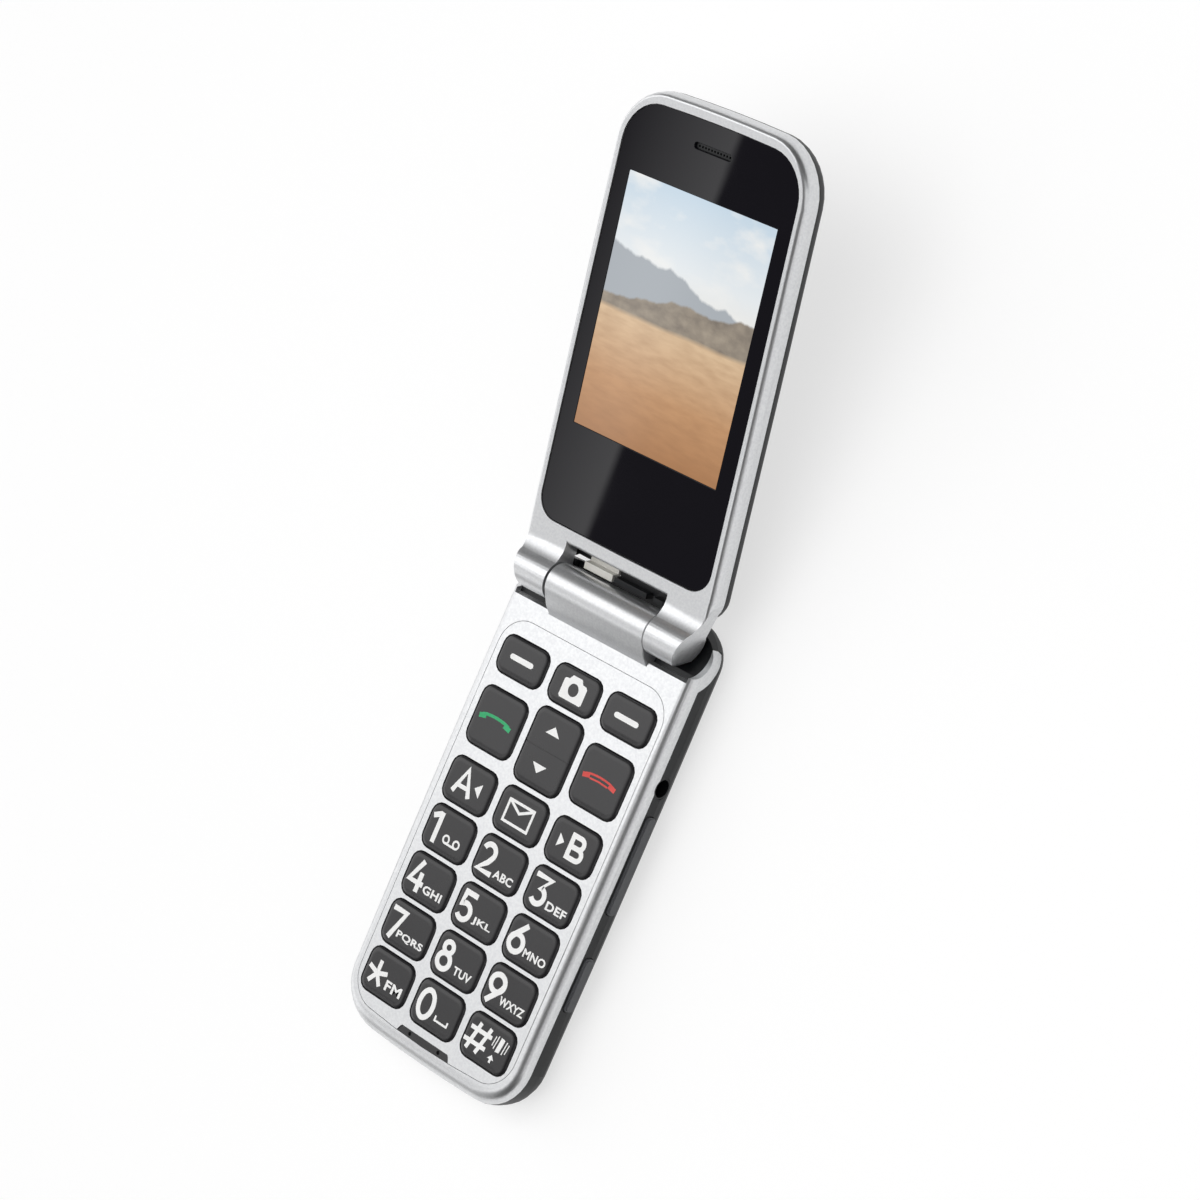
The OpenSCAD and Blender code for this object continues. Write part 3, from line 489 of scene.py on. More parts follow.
# Gold flash on spring contacts
GOLD = Finish("gold_flashed_springs", "C8A24A", "BE9742", 0.28, metallic=1.0, patch_mm=3.0)
# Green solder resist on glass-epoxy board
SOLDER_RESIST = Finish("green_solder_resist", "1F5A3A", "1A4E32", 0.3, coat=0.4, patch_mm=4.0)
# Thin polyester film
FILM = Finish("white_polyester_film", "D8D6D0", "CFCDC6", 0.4, patch_mm=5.0)
# Silicone rubber mat: soft dull black
RUBBER = Finish("silicone_rubber", "303236", "2B2D31", 0.7, patch_mm=6.0)
# Metal can in a printed film
CAN = Finish("filmed_battery_can", "2C2F36", "32353D", 0.38, patch_mm=8.0)
# Liquid crystal panel behind hard-coated glass
PANEL = Wallpaper("hard_coated_display_glass", "050506", "050506", 0.08)


class Workshop:
    """Makes each finish once and turns meshes into finished pieces."""

    def __init__(self, frame: dict[str, Any]) -> None:
        """Keep the frame and start with no materials.
        """
        self.frame = frame
        self.made: dict[str, bpy.types.Material] = {}

    def material(self, finish: Finish) -> bpy.types.Material:
        """Give the material of a finish, made on first use.

        Args:
            finish: The finish.

        Returns:
            Its material.
        """
        if finish.name not in self.made:
            self.made[finish.name] = finish.build()
        return self.made[finish.name]

    def dress(self, finish: Finish, *nodes: str) -> None:
        """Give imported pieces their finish.

        Args:
            finish: The finish.
            nodes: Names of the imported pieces.
        """
        for name in nodes:
            mesh = self.frame["nodes"][name].data
            mesh.materials.clear()
            mesh.materials.append(self.material(finish))
            LOG.info("dressed %s in %s", name, finish.name)

    def body_of(self, node: str) -> str:
        """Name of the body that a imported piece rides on."""
        return str(self.frame["nodes"][node]["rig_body"])

    def finished(
        self, name: str, shape: bmesh.types.BMesh, body: str, finish: Finish,
    ) -> bpy.types.Object:
        """Turn a bmesh into a piece that rides on a body.

        Args:
            name: Name of the piece.
            shape: Its mesh in metres, freed here.
            body: Body that it moves with.
            finish: Its finish.

        Returns:
            The new object.
        """
        bmesh.ops.recalc_face_normals(shape, faces=shape.faces[:])
        mesh = bpy.data.meshes.new(name)
        shape.to_mesh(mesh)
        shape.free()
        mesh.shade_smooth()
        mesh.set_sharp_from_angle(angle=math.radians(SMOOTH_ANGLE))
        mesh.materials.append(self.material(finish))
        piece = bpy.data.objects.new(name, mesh)
        bpy.context.scene.collection.objects.link(piece)
        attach(piece, body)
        LOG.info("made %s on %s, %d faces", name, body, len(mesh.polygons))
        return piece

    @staticmethod
    def merge(shape: bmesh.types.BMesh) -> None:
        """Join loose triangles, dissolve the lines across flat faces and drop stray faces.

        Args:
            shape: The mesh, in metres.
        """
        bmesh.ops.remove_doubles(shape, verts=shape.verts[:], dist=JOIN_GAP * MM)
        bmesh.ops.dissolve_degenerate(shape, edges=shape.edges[:], dist=NO_EDGE * MM)
        bmesh.ops.dissolve_limit(
            shape,
            angle_limit=math.radians(FLAT_ANGLE),
            verts=shape.verts[:],
            edges=shape.edges[:],
            use_dissolve_boundaries=False,
        )
        stray = [
            f for f in shape.faces
            if sum(len(e.link_faces) == 1 for e in f.edges) > len(f.edges) / 2
        ]
        bmesh.ops.delete(shape, geom=stray, context="FACES")

    def rounded(
        self,
        node: str,
        finish: Finish,
        edge_mm: float = 0.0,
        reshape: Callable[[bmesh.types.BMesh], None] | None = None,
    ) -> None:
        """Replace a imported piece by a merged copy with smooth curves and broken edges.

        Args:
            node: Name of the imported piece.
            finish: Its finish.
            edge_mm: Width of the broken edges, 0 for none.
            reshape: What changes the merged mesh before it is finished.
        """
        shape = bmesh.new()
        shape.from_mesh(self.frame["nodes"][node].data)
        self.merge(shape)
        if reshape is not None:
            reshape(shape)
            self.merge(shape)
        piece = self.finished(f"{node}_finished", shape, self.body_of(node), finish)
        if edge_mm:
            bevel = piece.modifiers.new("broken_edges", "BEVEL")
            bevel.width = edge_mm * MM
            bevel.segments = EDGE_STEPS
            bevel.limit_method = "ANGLE"
            bevel.angle_limit = math.radians(EDGE_ANGLE)
            bevel.use_clamp_overlap = True
        self.stand_in(piece, node)

    @staticmethod
    def stand_in(piece: bpy.types.Object, node: str) -> None:
        """Keep a piece's flat faces flat in the shading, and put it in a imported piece's place.

        Args:
            piece: The new piece.
            node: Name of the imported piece.
        """
        piece.modifiers.new("flat_faces_stay_flat", "WEIGHTED_NORMAL").keep_sharp = True
        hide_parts(node)


def ribbon(shape: bmesh.types.BMesh, path: Sequence[Point], width: float) -> None:
    """Draw a flat stroke of even width along a path, in mm.

    Args:
        shape: Mesh that gets the stroke.
        path: Points of its centre line.
        width: Width of the stroke.
    """
    points = [Vector(p) for p in path]
    headings = [(b - a).normalized() for a, b in zip(points, points[1:])]
    rims = []
    for i, point in enumerate(points):
        before, after = headings[max(i - 1, 0)], headings[min(i, len(headings) - 1)]
        along = (before + after).normalized()
        reach = Vector((-along.y, along.x)) * (width / 2 / max(along.dot(before), SHARPEST_MITRE))
        rims.append((point + reach, point - reach))
    edge = shape.edges.new([shape.verts.new((p.x, p.y, 0)) for p in rims[0]])
    for last, rim in zip(rims, rims[1:]):
        grown = bmesh.ops.extrude_edge_only(shape, edges=[edge])["geom"]
        edge = next(g for g in grown if isinstance(g, bmesh.types.BMEdge))
        ends = sorted(edge.verts, key=lambda v: (v.co.xy - last[0]).length)
        for vert, place in zip(ends, rim):
            vert.co = (place.x, place.y, 0)


def ring(shape: bmesh.types.BMesh, centre: Point, across: float, up: float, width: float) -> None:
    """Draw a flat round or oval ring, in mm.

    Args:
        shape: Mesh that gets the ring.
        centre: Its centre.
        across: Half width of its centre line.
        up: Half height of its centre line.
        width: Width of the stroke.
    """
    loops = []
    for side in (-0.5, 0.5):
        made = bmesh.ops.create_circle(shape, segments=RING_STEPS, radius=1.0)["verts"]
        bmesh.ops.scale(shape, verts=made, vec=(across + side * width, up + side * width, 1))
        bmesh.ops.translate(shape, verts=made, vec=(*centre, 0))
        loops += list({e for v in made for e in v.link_edges})
    bmesh.ops.bridge_loops(shape, edges=loops)


def take_curve(
    shape: bmesh.types.BMesh, curve: bpy.types.Curve, box: tuple[float, ...] | None = None
) -> None:
    """Add a flat curve or text to a mesh, fitted to a box where one is given.

    Args:
        shape: Mesh that gets the faces.
        curve: The curve, removed here.
        box: Left, right, lower and upper limit in mm.
    """
    holder = bpy.data.objects.new(curve.name, curve)
    bpy.context.scene.collection.objects.link(holder)
    mesh = bpy.data.meshes.new_from_object(holder)
    if box is not None:
        xs = [v.co.x for v in mesh.vertices]
        ys = [v.co.y for v in mesh.vertices]
        wide, high = max(xs) - min(xs), max(ys) - min(ys)
        fit = Matrix.Translation((box[0], box[2], 0))
        fit @= Matrix.Diagonal(((box[1] - box[0]) / wide, (box[3] - box[2]) / high, 1, 1))
        mesh.transform(fit @ Matrix.Translation((-min(xs), -min(ys), 0)))
    shape.from_mesh(mesh)
    bpy.data.objects.remove(holder)
    bpy.data.curves.remove(curve)
    bpy.data.meshes.remove(mesh)


def filled(shape: bmesh.types.BMesh, outlines: Iterable[Sequence[Point]]) -> None:
    """Fill closed outlines, an inner one being a hole, in mm.

    Args:
        shape: Mesh that gets the faces.
        outlines: The outlines.
    """
    curve = bpy.data.curves.new("outline", "CURVE")
    curve.dimensions = "2D"
    curve.fill_mode = "BOTH"
    for outline in outlines:
        spline = curve.splines.new("POLY")
        spline.points.add(len(outline) - 1)
        for point, (x, y) in zip(spline.points, outline):
            point.co = (x, y, 0, 1)
        spline.use_cyclic_u = True
    take_curve(shape, curve)


def words(shape: bmesh.types.BMesh, text: str, box: tuple[float, ...]) -> None:
    """Write small capitals that fill a box, in mm.

    Args:
        shape: Mesh that gets the letters.
        text: The letters.
        box: Left, right, lower and upper limit.
    """
    curve = bpy.data.curves.new("letters", "FONT")
    curve.body = text
    curve.size = 1.0
    curve.space_character = LETTER_SPACE
    curve.offset = LETTER_WEIGHT
    curve.resolution_u = LETTER_STEPS
    take_curve(shape, curve, box)


def raised(shape: bmesh.types.BMesh, faces: Iterable[Any], rise: float, keep: bool = False) -> None:
    """Pull faces straight up with walls below them.

    Args:
        shape: Mesh that holds the faces.
        faces: The faces.
        rise: How far they move, negative for down.
        keep: Whether the first faces stay, as the floor of loose ones.
    """
    faces = list(faces)
    edges = {edge for face in faces for edge in face.edges}
    grown = bmesh.ops.extrude_face_region(shape, geom=[*faces, *edges], use_keep_orig=keep)["geom"]
    moved = [g for g in grown if isinstance(g, bmesh.types.BMVert)]
    bmesh.ops.translate(shape, verts=moved, vec=(0, 0, rise))


def box_at(shape: bmesh.types.BMesh, size: Triple, middle: Triple) -> list[bmesh.types.BMVert]:
    """Put a box in its place and give its vertices."""
    made = bmesh.ops.create_cube(shape, size=1.0)["verts"]
    bmesh.ops.scale(shape, verts=made, vec=size)
    bmesh.ops.translate(shape, verts=made, vec=middle)
    return made


def cut_through(shape: bmesh.types.BMesh, normal: Triple, place: float) -> None:
    """Cut every face by a plane that lies a distance along its unit normal."""
    bmesh.ops.bisect_plane(
        shape, geom=[*shape.verts, *shape.edges, *shape.faces],
        plane_co=Vector(normal) * place, plane_no=normal,
    )


def to_metres(shape: bmesh.types.BMesh) -> bmesh.types.BMesh:
    """Scale a mesh in mm to metres."""
    bmesh.ops.scale(shape, verts=shape.verts[:], vec=(MM, MM, MM))
    return shape


def arc(centre: Point, radius: float, start: float, stop: float) -> list[Point]:
    """Points along an arc, in mm.

    Args:
        centre: Centre of the arc.
        radius: Its radius.
        start: First angle in degrees.
        stop: Last angle in degrees.

    Returns:
        The points.
    """
    count = max(2, round(abs(stop - start) / ARC_STEP))
    angles = [math.radians(start + (stop - start) * i / count) for i in range(count + 1)]
    return [(centre[0] + radius * math.cos(a), centre[1] + radius * math.sin(a)) for a in angles]


def turned(points: Iterable[Point], centre: Point) -> list[Point]:
    """Points turned by half a turn about a centre."""
    return [(2 * centre[0] - x, 2 * centre[1] - y) for x, y in points]


# Centre and half sizes of the round part of 6, and of 9; the stem of 6 and the middle of its turn
SIX_BOWL = ((-3.17, -0.9), 1.72, 1.68, DIGIT_STROKE)
NINE_BOWL = ((-3.17, 0.78), 1.72, 1.68, DIGIT_STROKE)
SIX_STEM = [(-1.75, 3.12), (-2.75, 2.0), (-3.9, 0.75), (-4.6, -0.25), (-4.86, -0.95)]
STEM_TURN = (-3.17, -0.06)


@dataclass(frozen=True)
class Print:
    """What is printed on one key, in mm from the key's middle.

    Attributes:
        paths: Centre lines of strokes, each with its width.
        rings: Centre, half width, half height and stroke of rings.
        shapes: Filled outlines with their holes.
        letters: Small capitals with their box.
        ink: Colour of the print.
    """

    paths: tuple[tuple[Sequence[Point], float], ...] = ()
    rings: tuple[tuple[Point, float, float, float], ...] = ()
    shapes: tuple[tuple[Sequence[Point], ...], ...] = ()
    letters: tuple[tuple[str, tuple[float, ...]], ...] = ()
    ink: Ink = Ink.WHITE

    def draw(self, shape: bmesh.types.BMesh) -> None:
        """Draw the print near height 0, each stroke a hair above the one before.

        Args:
            shape: Mesh that gets the print.
        """
        strokes = [(ribbon, path, width) for path, width in self.paths]
        strokes += [(ring, *sizes) for sizes in self.rings]
        strokes += [(filled, outlines) for outlines in self.shapes]
        strokes += [(words, text, box) for text, box in self.letters]
        for layer, (draw, *sizes) in enumerate(strokes):
            before = len(shape.verts)
            draw(shape, *sizes)
            shape.verts.ensure_lookup_table()
            bmesh.ops.translate(shape, verts=shape.verts[before:], vec=(0, 0, layer * INK_LAYER))


def digit(*paths: Sequence[Point], **rest: Any) -> Print:
    """Print of a number key: bold strokes and whatever else it has."""
    return Print(paths=tuple((p, DIGIT_STROKE) for p in paths), **rest)


def handset(ink: Ink, outlined: bool) -> Print:
    """Handset seen from the side, as on the call and end keys.

    Args:
        ink: Colour of the print.
        outlined: Whether the grip is drawn as two thin lines.

    Returns:
        The print.
    """
    grip = [
        (-3.9, 0.2), (-2.9, 0.5), (-1.5, 0.66), (-0.3, 0.7), (0.9, 0.66), (2.3, 0.5), (3.4, 0.2)
    ]
    low = [(-2.6, -0.32), (-0.3, -0.16), (2.0, -0.32)]
    ends = (((-4.5, -0.25), (-2.75, 0.12)), ((3.97, -0.25), (2.2, 0.12)))
    lines = ((grip, 0.42), (low, 0.36)) if outlined else ((grip, 0.62),)
    return Print(paths=lines + tuple((e, 0.95) for e in ends), ink=ink)


def dash(middle: float, height: float) -> tuple[list[Point], ...]:
    """Outline of the round-ended dash of a soft key about its middle."""
    ends = ((middle - 2.55, 90, 270), (middle + 2.55, -90, 90))
    return ([p for x, start, stop in ends for p in arc((x, height), 0.55, start, stop)],)


CAMERA_SIGN = (
    (
        (-2.7, -2.35), (2.6, -2.35), (2.95, -2.0), (2.95, 1.1), (2.55, 1.55), (1.6, 1.65),
        (1.05, 2.5), (-1.35, 2.5), (-1.9, 1.65), (-2.75, 1.55), (-3.05, 1.2), (-3.05, -2.0),
    ),
    tuple(arc((-0.1, -0.1), 1.28, 0, 345)),
)
VIBRATING_SIGN = (((2.35, -0.55), (3.35, -0.4), (3.75, 2.35), (2.75, 2.5)),)
SHIFT_SIGN = (
    ((2.13, -1.35), (2.95, -2.25), (2.38, -2.25), (2.38, -2.95), (1.88, -2.95), (1.88, -2.25),
     (1.3, -2.25)),
)

PRINTS: dict[str, Print] = {
    "key_soft_left": Print(shapes=(dash(-0.05, 0.0),)),
    "key_soft_right": Print(shapes=(dash(-0.15, -0.1),)),
    "key_camera": Print(shapes=(CAMERA_SIGN,)),
    "key_call": handset(Ink.GREEN, False),
    "key_end": handset(Ink.RED, True),
    "key_nav": Print(shapes=(
        (((-2.25, 3.1), (1.4, 3.1), (-0.42, 4.8)),),
        (((-2.25, -2.9), (-0.42, -4.65), (1.4, -2.9)),),
    )),
    "key_a": Print(
        paths=(
            (((-3.42, -2.45), (-1.25, 2.7), (0.95, -2.45)), 1.05),
            (((-2.5, -0.85), (0.1, -0.85)), 0.85),
        ),
        shapes=((((1.57, 0.15), (3.24, -1.35), (3.24, 1.5)),),),
    ),
    "key_message": Print(paths=(
        (((-3.55, -2.25), (3.0, -2.25)), 0.55), (((-3.55, 2.05), (3.0, 2.05)), 0.55),
        (((-3.55, -2.5), (-3.55, 2.3)), 0.55), (((2.98, -2.5), (2.98, 2.3)), 0.55),
        (((-3.4, 1.95), (-0.3, 0.25), (2.85, 1.95)), 0.55),
    )),
    "key_b": Print(
        paths=(
            (((-0.45, 2.72), (-0.45, -2.55)), 1.05),
            (
                ((-0.45, 2.22), (1.3, 2.22), *arc((1.45, 1.17), 1.05, 80, -80), (1.3, 0.12),
                 (-0.45, 0.12)), 1.0,
            ),
            (
                ((-0.45, 0.12), (1.5, 0.12), *arc((1.75, -0.97), 1.09, 80, -80), (1.5, -2.06),
                 (-0.45, -2.06)), 1.0,
            ),
        ),
        shapes=((((-3.67, -1.3), (-2.1, 0.05), (-3.67, 1.35)),),),
    ),
    "key_1": digit(
        ((-5.0, 1.75), (-3.1, 2.78)), ((-2.97, 3.15), (-2.97, -3.12)),
        rings=(((0.1, -1.2), 0.74, 0.74, 0.42), ((2.87, -1.2), 0.74, 0.74, 0.42)),
        shapes=((((0.1, -2.15), (2.87, -2.15), (2.87, -1.73), (0.1, -1.73)),),),
    ),
    "key_2": digit(
        (*arc((-3.15, 1.17), 1.5, 165, -30), (-2.6, -0.75), (-4.62, -2.6), (-0.85, -2.6)),
        letters=(("ABC", (-0.35, 4.75, -2.75, -1.05)),),
    ),
    "key_3": digit(
        ((-4.95, 2.6), (-0.9, 2.6), (-2.85, 0.35), *arc((-2.85, -1.12), 1.55, 78, -148)),
        letters=(("DEF", (-0.2, 5.05, -2.7, -1.0)),),
    ),
    "key_4": digit(
        ((-2.35, 3.12), (-4.6, -1.25), (-0.8, -1.25)), ((-1.95, 0.9), (-1.95, -3.1)),
        letters=(("GHI", (-0.35, 4.7, -2.5, -0.8)),),
    ),
    "key_5": digit(
        ((-1.3, 2.6), (-4.25, 2.6), (-4.5, 0.1), *arc((-3.3, -1.1), 1.6, 118, -148)),
        letters=(("JKL", (-0.65, 4.35, -2.5, -0.8)),),
    ),
    "key_6": digit(SIX_STEM, rings=(SIX_BOWL,), letters=(("MNO", (-0.65, 5.15, -2.5, -0.8)),)),
    "key_7": digit(
        ((-5.05, 2.55), (-1.45, 2.55), (-3.85, -3.3)),
        letters=(("PQRS", (-2.0, 5.2, -2.65, -0.95)),),
    ),
    "key_8": digit(
        rings=(((-3.0, 1.45), 1.15, 1.12, 1.02), ((-3.05, -1.3), 1.6, 1.55, DIGIT_STROKE)),
        letters=(("TUV", (0.0, 4.75, -2.6, -0.9)),),
    ),
    "key_9": digit(
        turned(SIX_STEM, STEM_TURN), rings=(NINE_BOWL,),
        letters=(("WXYZ", (-1.35, 5.1, -2.6, -0.9)),),
    ),
    "key_star": Print(
        paths=tuple(
            (((-2.53, -0.4), arc((-2.53, -0.4), 2.65, a, a + 1)[0]), 0.92)
            for a in (90, 18, -54, -126, -198)
        ),
        letters=(("FM", (0.4, 4.85, -2.45, -0.4)),),
    ),
    "key_0": Print(
        paths=((((0.55, -0.95), (0.55, -1.9), (3.8, -1.9), (3.8, -0.95)), 0.42),),
        rings=(((-2.75, -0.08), 1.78, 2.74, DIGIT_STROKE),),
    ),
    "key_hash": Print(
        paths=(
            (((-2.87, 2.8), (-4.37, -2.9)), 0.85), (((-0.17, 2.8), (-1.87, -2.9)), 0.85),
            (((-5.0, 1.32), (0.6, 1.32)), 0.85), (((-5.65, -1.28), (0.1, -1.28)), 0.85),
            (((1.75, -0.2), (2.15, 2.5)), 0.24), (((1.2, 0.2), (1.5, 2.2)), 0.22),
            (((4.0, -0.4), (4.4, 2.3)), 0.24), (((4.7, 0.0), (5.0, 2.0)), 0.22),
        ),
        shapes=(VIBRATING_SIGN, SHIFT_SIGN),
    ),
}


@dataclass
class Keypad:
    """Key caps with soft shoulders, and the print on them.

    Attributes:
        corner: Corner radius of a cap in mm.
        corner_steps: Steps round a corner.
        flange: Width of the hidden flange in mm.
        flange_top: Height of the flange's upper face above its underside in mm.
        shoulder: Rounding along a cap's upper edge in mm.
        shoulder_steps: Steps across that rounding.
        dish: Width of the sloping band inside the shoulder in mm.
        crown: How far the middle of a cap stands above its shoulder in mm.
        groove: Width and depth of the line across the navigation key in mm.
        ear_width: Width of the ears that the navigation key rocks on in mm.
        ear_play: How far the ears lie below the flanges' upper face in mm.
        ink: Height of the print above the cap and its depth in mm.
    """

    corner: float = 2.3
    corner_steps: int = 9
    flange: float = 0.45
    flange_top: float = 0.4
    shoulder: float = 0.8
    shoulder_steps: int = 4
    dish: float = 0.45
    crown: float = 0.09
    groove: Point = (0.28, 0.16)
    ear_width: float = 3.0
    ear_play: float = 0.05
    ink: Point = (0.012, 0.15)

    @staticmethod
    def limits(name: str) -> tuple[Vector, Vector, Vector]:
        """Lowest corner, highest corner and middle of a packed key, in mm."""
        low, high = (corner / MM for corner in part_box(name))
        return low, high, (low + high) / 2

    def cap(self, name: str) -> bmesh.types.BMesh:
        """Shape a key cap in metres.

        Args:
            name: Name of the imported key.

        Returns:
            The cap's mesh.
        """
        low, high, middle = self.limits(name)
        flat_ends = name == "key_nav"
        size = high - low
        wide = size.x - 2 * self.flange if flat_ends else size.x
        shape = bmesh.new()
        foot = (middle.x, middle.y, low.z + self.flange_top / 2)
        box_at(shape, (wide, size.y, self.flange_top), foot)
        upright = [e for e in shape.edges if (e.verts[0].co - e.verts[1].co).xy.length < NO_EDGE]
        radius = self.corner if flat_ends else self.corner + self.flange
        self.round_off(shape, upright, radius, self.corner_steps)
        top = self.top_of(shape)
        if not flat_ends:
            bmesh.ops.inset_region(shape, faces=[top], thickness=self.flange, use_even_offset=True)
        raised(shape, [top], high.z - self.crown - low.z - self.flange_top)
        rim = list(self.top_of(shape).edges)
        self.round_off(shape, rim, self.shoulder, self.shoulder_steps)
        bmesh.ops.inset_region(
            shape, faces=[self.top_of(shape)], thickness=self.dish, depth=self.crown,
            use_even_offset=True,
        )
        if flat_ends:
            self.cut_groove(shape, middle.y)
            thick = self.flange_top - self.ear_play
            ears = (middle.x, middle.y, low.z + thick / 2)
            box_at(shape, (size.x, self.ear_width, thick), ears)
        return to_metres(shape)

    @staticmethod
    def round_off(
        shape: bmesh.types.BMesh, edges: list[bmesh.types.BMEdge], radius: float, steps: int
    ) -> None:
        """Round the edges of a mesh."""
        bmesh.ops.bevel(
            shape, geom=edges, offset=radius, offset_type="OFFSET", segments=steps, profile=0.5,
            affect="EDGES", material=-1,
        )

    @staticmethod
    def top_of(shape: bmesh.types.BMesh) -> bmesh.types.BMFace:
        """Highest level face of a mesh in mm, the largest of several."""
        shape.normal_update()
        level = [f for f in shape.faces if f.normal.z > LEVEL]
        highest = max(f.calc_center_median().z for f in level)
        top = [f for f in level if highest - f.calc_center_median().z < NO_EDGE]
        return max(top, key=lambda f: f.calc_area())

    def cut_groove(self, shape: bmesh.types.BMesh, middle: float) -> None:
        """Cut the line across the navigation key.

        Args:
            shape: The cap, in mm.
            middle: Where the line runs.
        """
        half, depth = self.groove[0] / 2, self.groove[1]
        for place in (middle - half, middle + half):
            cut_through(shape, (0, 1, 0), place)
        shape.normal_update()
        strip = [
            f for f in shape.faces
            if abs(f.calc_center_median().y - middle) < half and f.normal.z > UPWARDS
        ]
        raised(shape, strip, -depth)

    def legend(self, name: str) -> bmesh.types.BMesh:
        """Shape the print of a key in metres, as a thin layer on its cap.

        Args:
            name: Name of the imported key.

        Returns:
            The print's mesh.
        """
        _, high, middle = self.limits(name)
        shape = bmesh.new()
        PRINTS[name].draw(shape)
        bmesh.ops.remove_doubles(shape, verts=shape.verts[:], dist=INK_LAYER / 3)
        height, depth = self.ink
        raised(shape, shape.faces[:], depth, keep=True)
        place = (middle.x, middle.y, high.z + height - depth)
        bmesh.ops.translate(shape, verts=shape.verts[:], vec=place)
        return to_metres(shape)

    def build(self, shop: Workshop) -> None:
        """Make every cap and its print.

        Args:
            shop: Where pieces are finished.
        """
        inks = {Ink.WHITE: WHITE_INK, Ink.GREEN: GREEN_INK, Ink.RED: RED_INK}
        for name, marks in PRINTS.items():
            cap = shop.finished(f"{name}_cap", self.cap(name), name, KEY_PLASTIC)
            shop.stand_in(cap, name)
            shop.finished(f"{name}_print", self.legend(name), name, inks[marks.ink])


@dataclass
class Base:
    """Lower half: silver frame and panel, black shell, covers and side keys.

    Attributes:
        broken_edge: Width of the broken edges of moulded pieces in mm.
        seam_edge: Width of the rounded ends of the hinge barrel in mm.
        slot_front: Distance of the microphone slot's front wall from the middle in mm.
        slot_bow: How much that wall comes back, times the square of the distance across.
        grille_rise: How far the grille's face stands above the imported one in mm.
        grille_cuts: Places across, in mm, where the grille's front bends.
    """

    broken_edge: float = 0.08
    seam_edge: float = 0.28
    slot_front: float = 46.44
    slot_bow: float = 0.00264
    grille_rise: float = 0.17
    grille_cuts: tuple[int, ...] = tuple(range(-7, 8, 2))

    def fit_grille(self, shape: bmesh.types.BMesh) -> None:
        """Let the microphone's grille follow the bowed front wall of its slot.

        Args:
            shape: The grille, in metres.
        """
        for place in self.grille_cuts:
            cut_through(shape, (1, 0, 0), place * MM)
        front = min(v.co.y for v in shape.verts) + SAME_PLANE * MM
        top = max(v.co.z for v in shape.verts) - SAME_PLANE * MM
        for vert in shape.verts:
            if vert.co.y < front:
                vert.co.y = (self.slot_bow * (vert.co.x / MM) ** 2 - self.slot_front) * MM
            if vert.co.z > top:
                vert.co.z += self.grille_rise * MM

    def build(self, shop: Workshop) -> None:
        """Dress the base's outside and inside.

        Args:
            shop: Where pieces are finished.
        """
        for node in ("base_frame", "keypad_plate"):
            shop.rounded(node, SILVER_LACQUER, self.broken_edge)
        shop.rounded("hinge_barrel", SILVER_LACQUER, self.seam_edge)
        for node in ("base_shell", "battery_cover"):
            shop.rounded(node, BLACK_ABS, self.broken_edge)
        for node in ("volume_rocker", "side_key"):
            shop.rounded(node, SIDE_KEY_PLASTIC, self.broken_edge)
        shop.rounded("microphone_grille", KEY_PLASTIC, reshape=self.fit_grille)
        shop.dress(BLACK_ABS, "headphone_jack", "loudspeaker", "antenna")
        shop.dress(CAN, "battery")
        shop.dress(GOLD, "battery_contacts")
        shop.dress(
            STEEL, "sim_holder", "shield_can", "vibration_motor", "microphone", "usb_socket",
            "base_screws",
        )
        shop.dress(SOLDER_RESIST, "main_board", "side_key_board")
        shop.dress(FILM, "dome_sheet")
        shop.dress(RUBBER, "keypad_mat")


@dataclass
class Lid:
    """Upper half: silver frame, black window, display, dark cover.

    Attributes:
        broken_edge: Width of the broken edges of moulded pieces in mm.
        window_edge: Width of the window's polished edge in mm.
    """

    broken_edge: float = 0.08
    window_edge: float = 0.12

    def build(self, shop: Workshop) -> None:
        """Dress the lid's outside and inside.

        Args:
            shop: Where pieces are finished.
        """
        shop.rounded("lid_frame", SILVER_LACQUER, self.broken_edge)
        shop.rounded("lid_window", BLACK_ACRYLIC, self.window_edge)
        shop.rounded("lid_cover", BLACK_ABS, self.broken_edge)
        shop.dress(PANEL, "display_module")
        shop.dress(BLACK_ACRYLIC, "camera_window")
        shop.dress(BLACK_ABS, "earpiece", "earpiece_mesh", "flex_guard")
        shop.dress(SOLDER_RESIST, "lid_board")
        shop.dress(STEEL, "camera_module", "lid_screws")
        shop.dress(FILM, "flex_cable")


@dataclass
class Hinge:
    """Sprung module, sleeve and pin inside the barrel."""

    pieces: tuple[str, ...] = ("hinge_module", "hinge_sleeve", "hinge_pin")

    def build(self, shop: Workshop) -> None:
        """Dress the hinge's steel."""
        shop.dress(STEEL, *self.pieces)


@dataclass(frozen=True)
class Band:
    """Smooth change of the room's light along one axis.

    Attributes:
        axis: X or Y.
        low: Where it starts.
        high: Where it ends.
        start: Level below it.
        stop: Level above it.
    """

    axis: str
    low: float
    high: float
    start: float
    stop: float


@dataclass(frozen=True)
class Lamp:
    """Square soft box.

    Attributes:
        name: Its name.
        place: Where it hangs, in metres.
        size: Its side in metres.
        watts: Its power.
        mirrored: Whether glossy surfaces mirror it.
    """

    name: str
    place: Triple
    size: float
    watts: float
    mirrored: bool = True


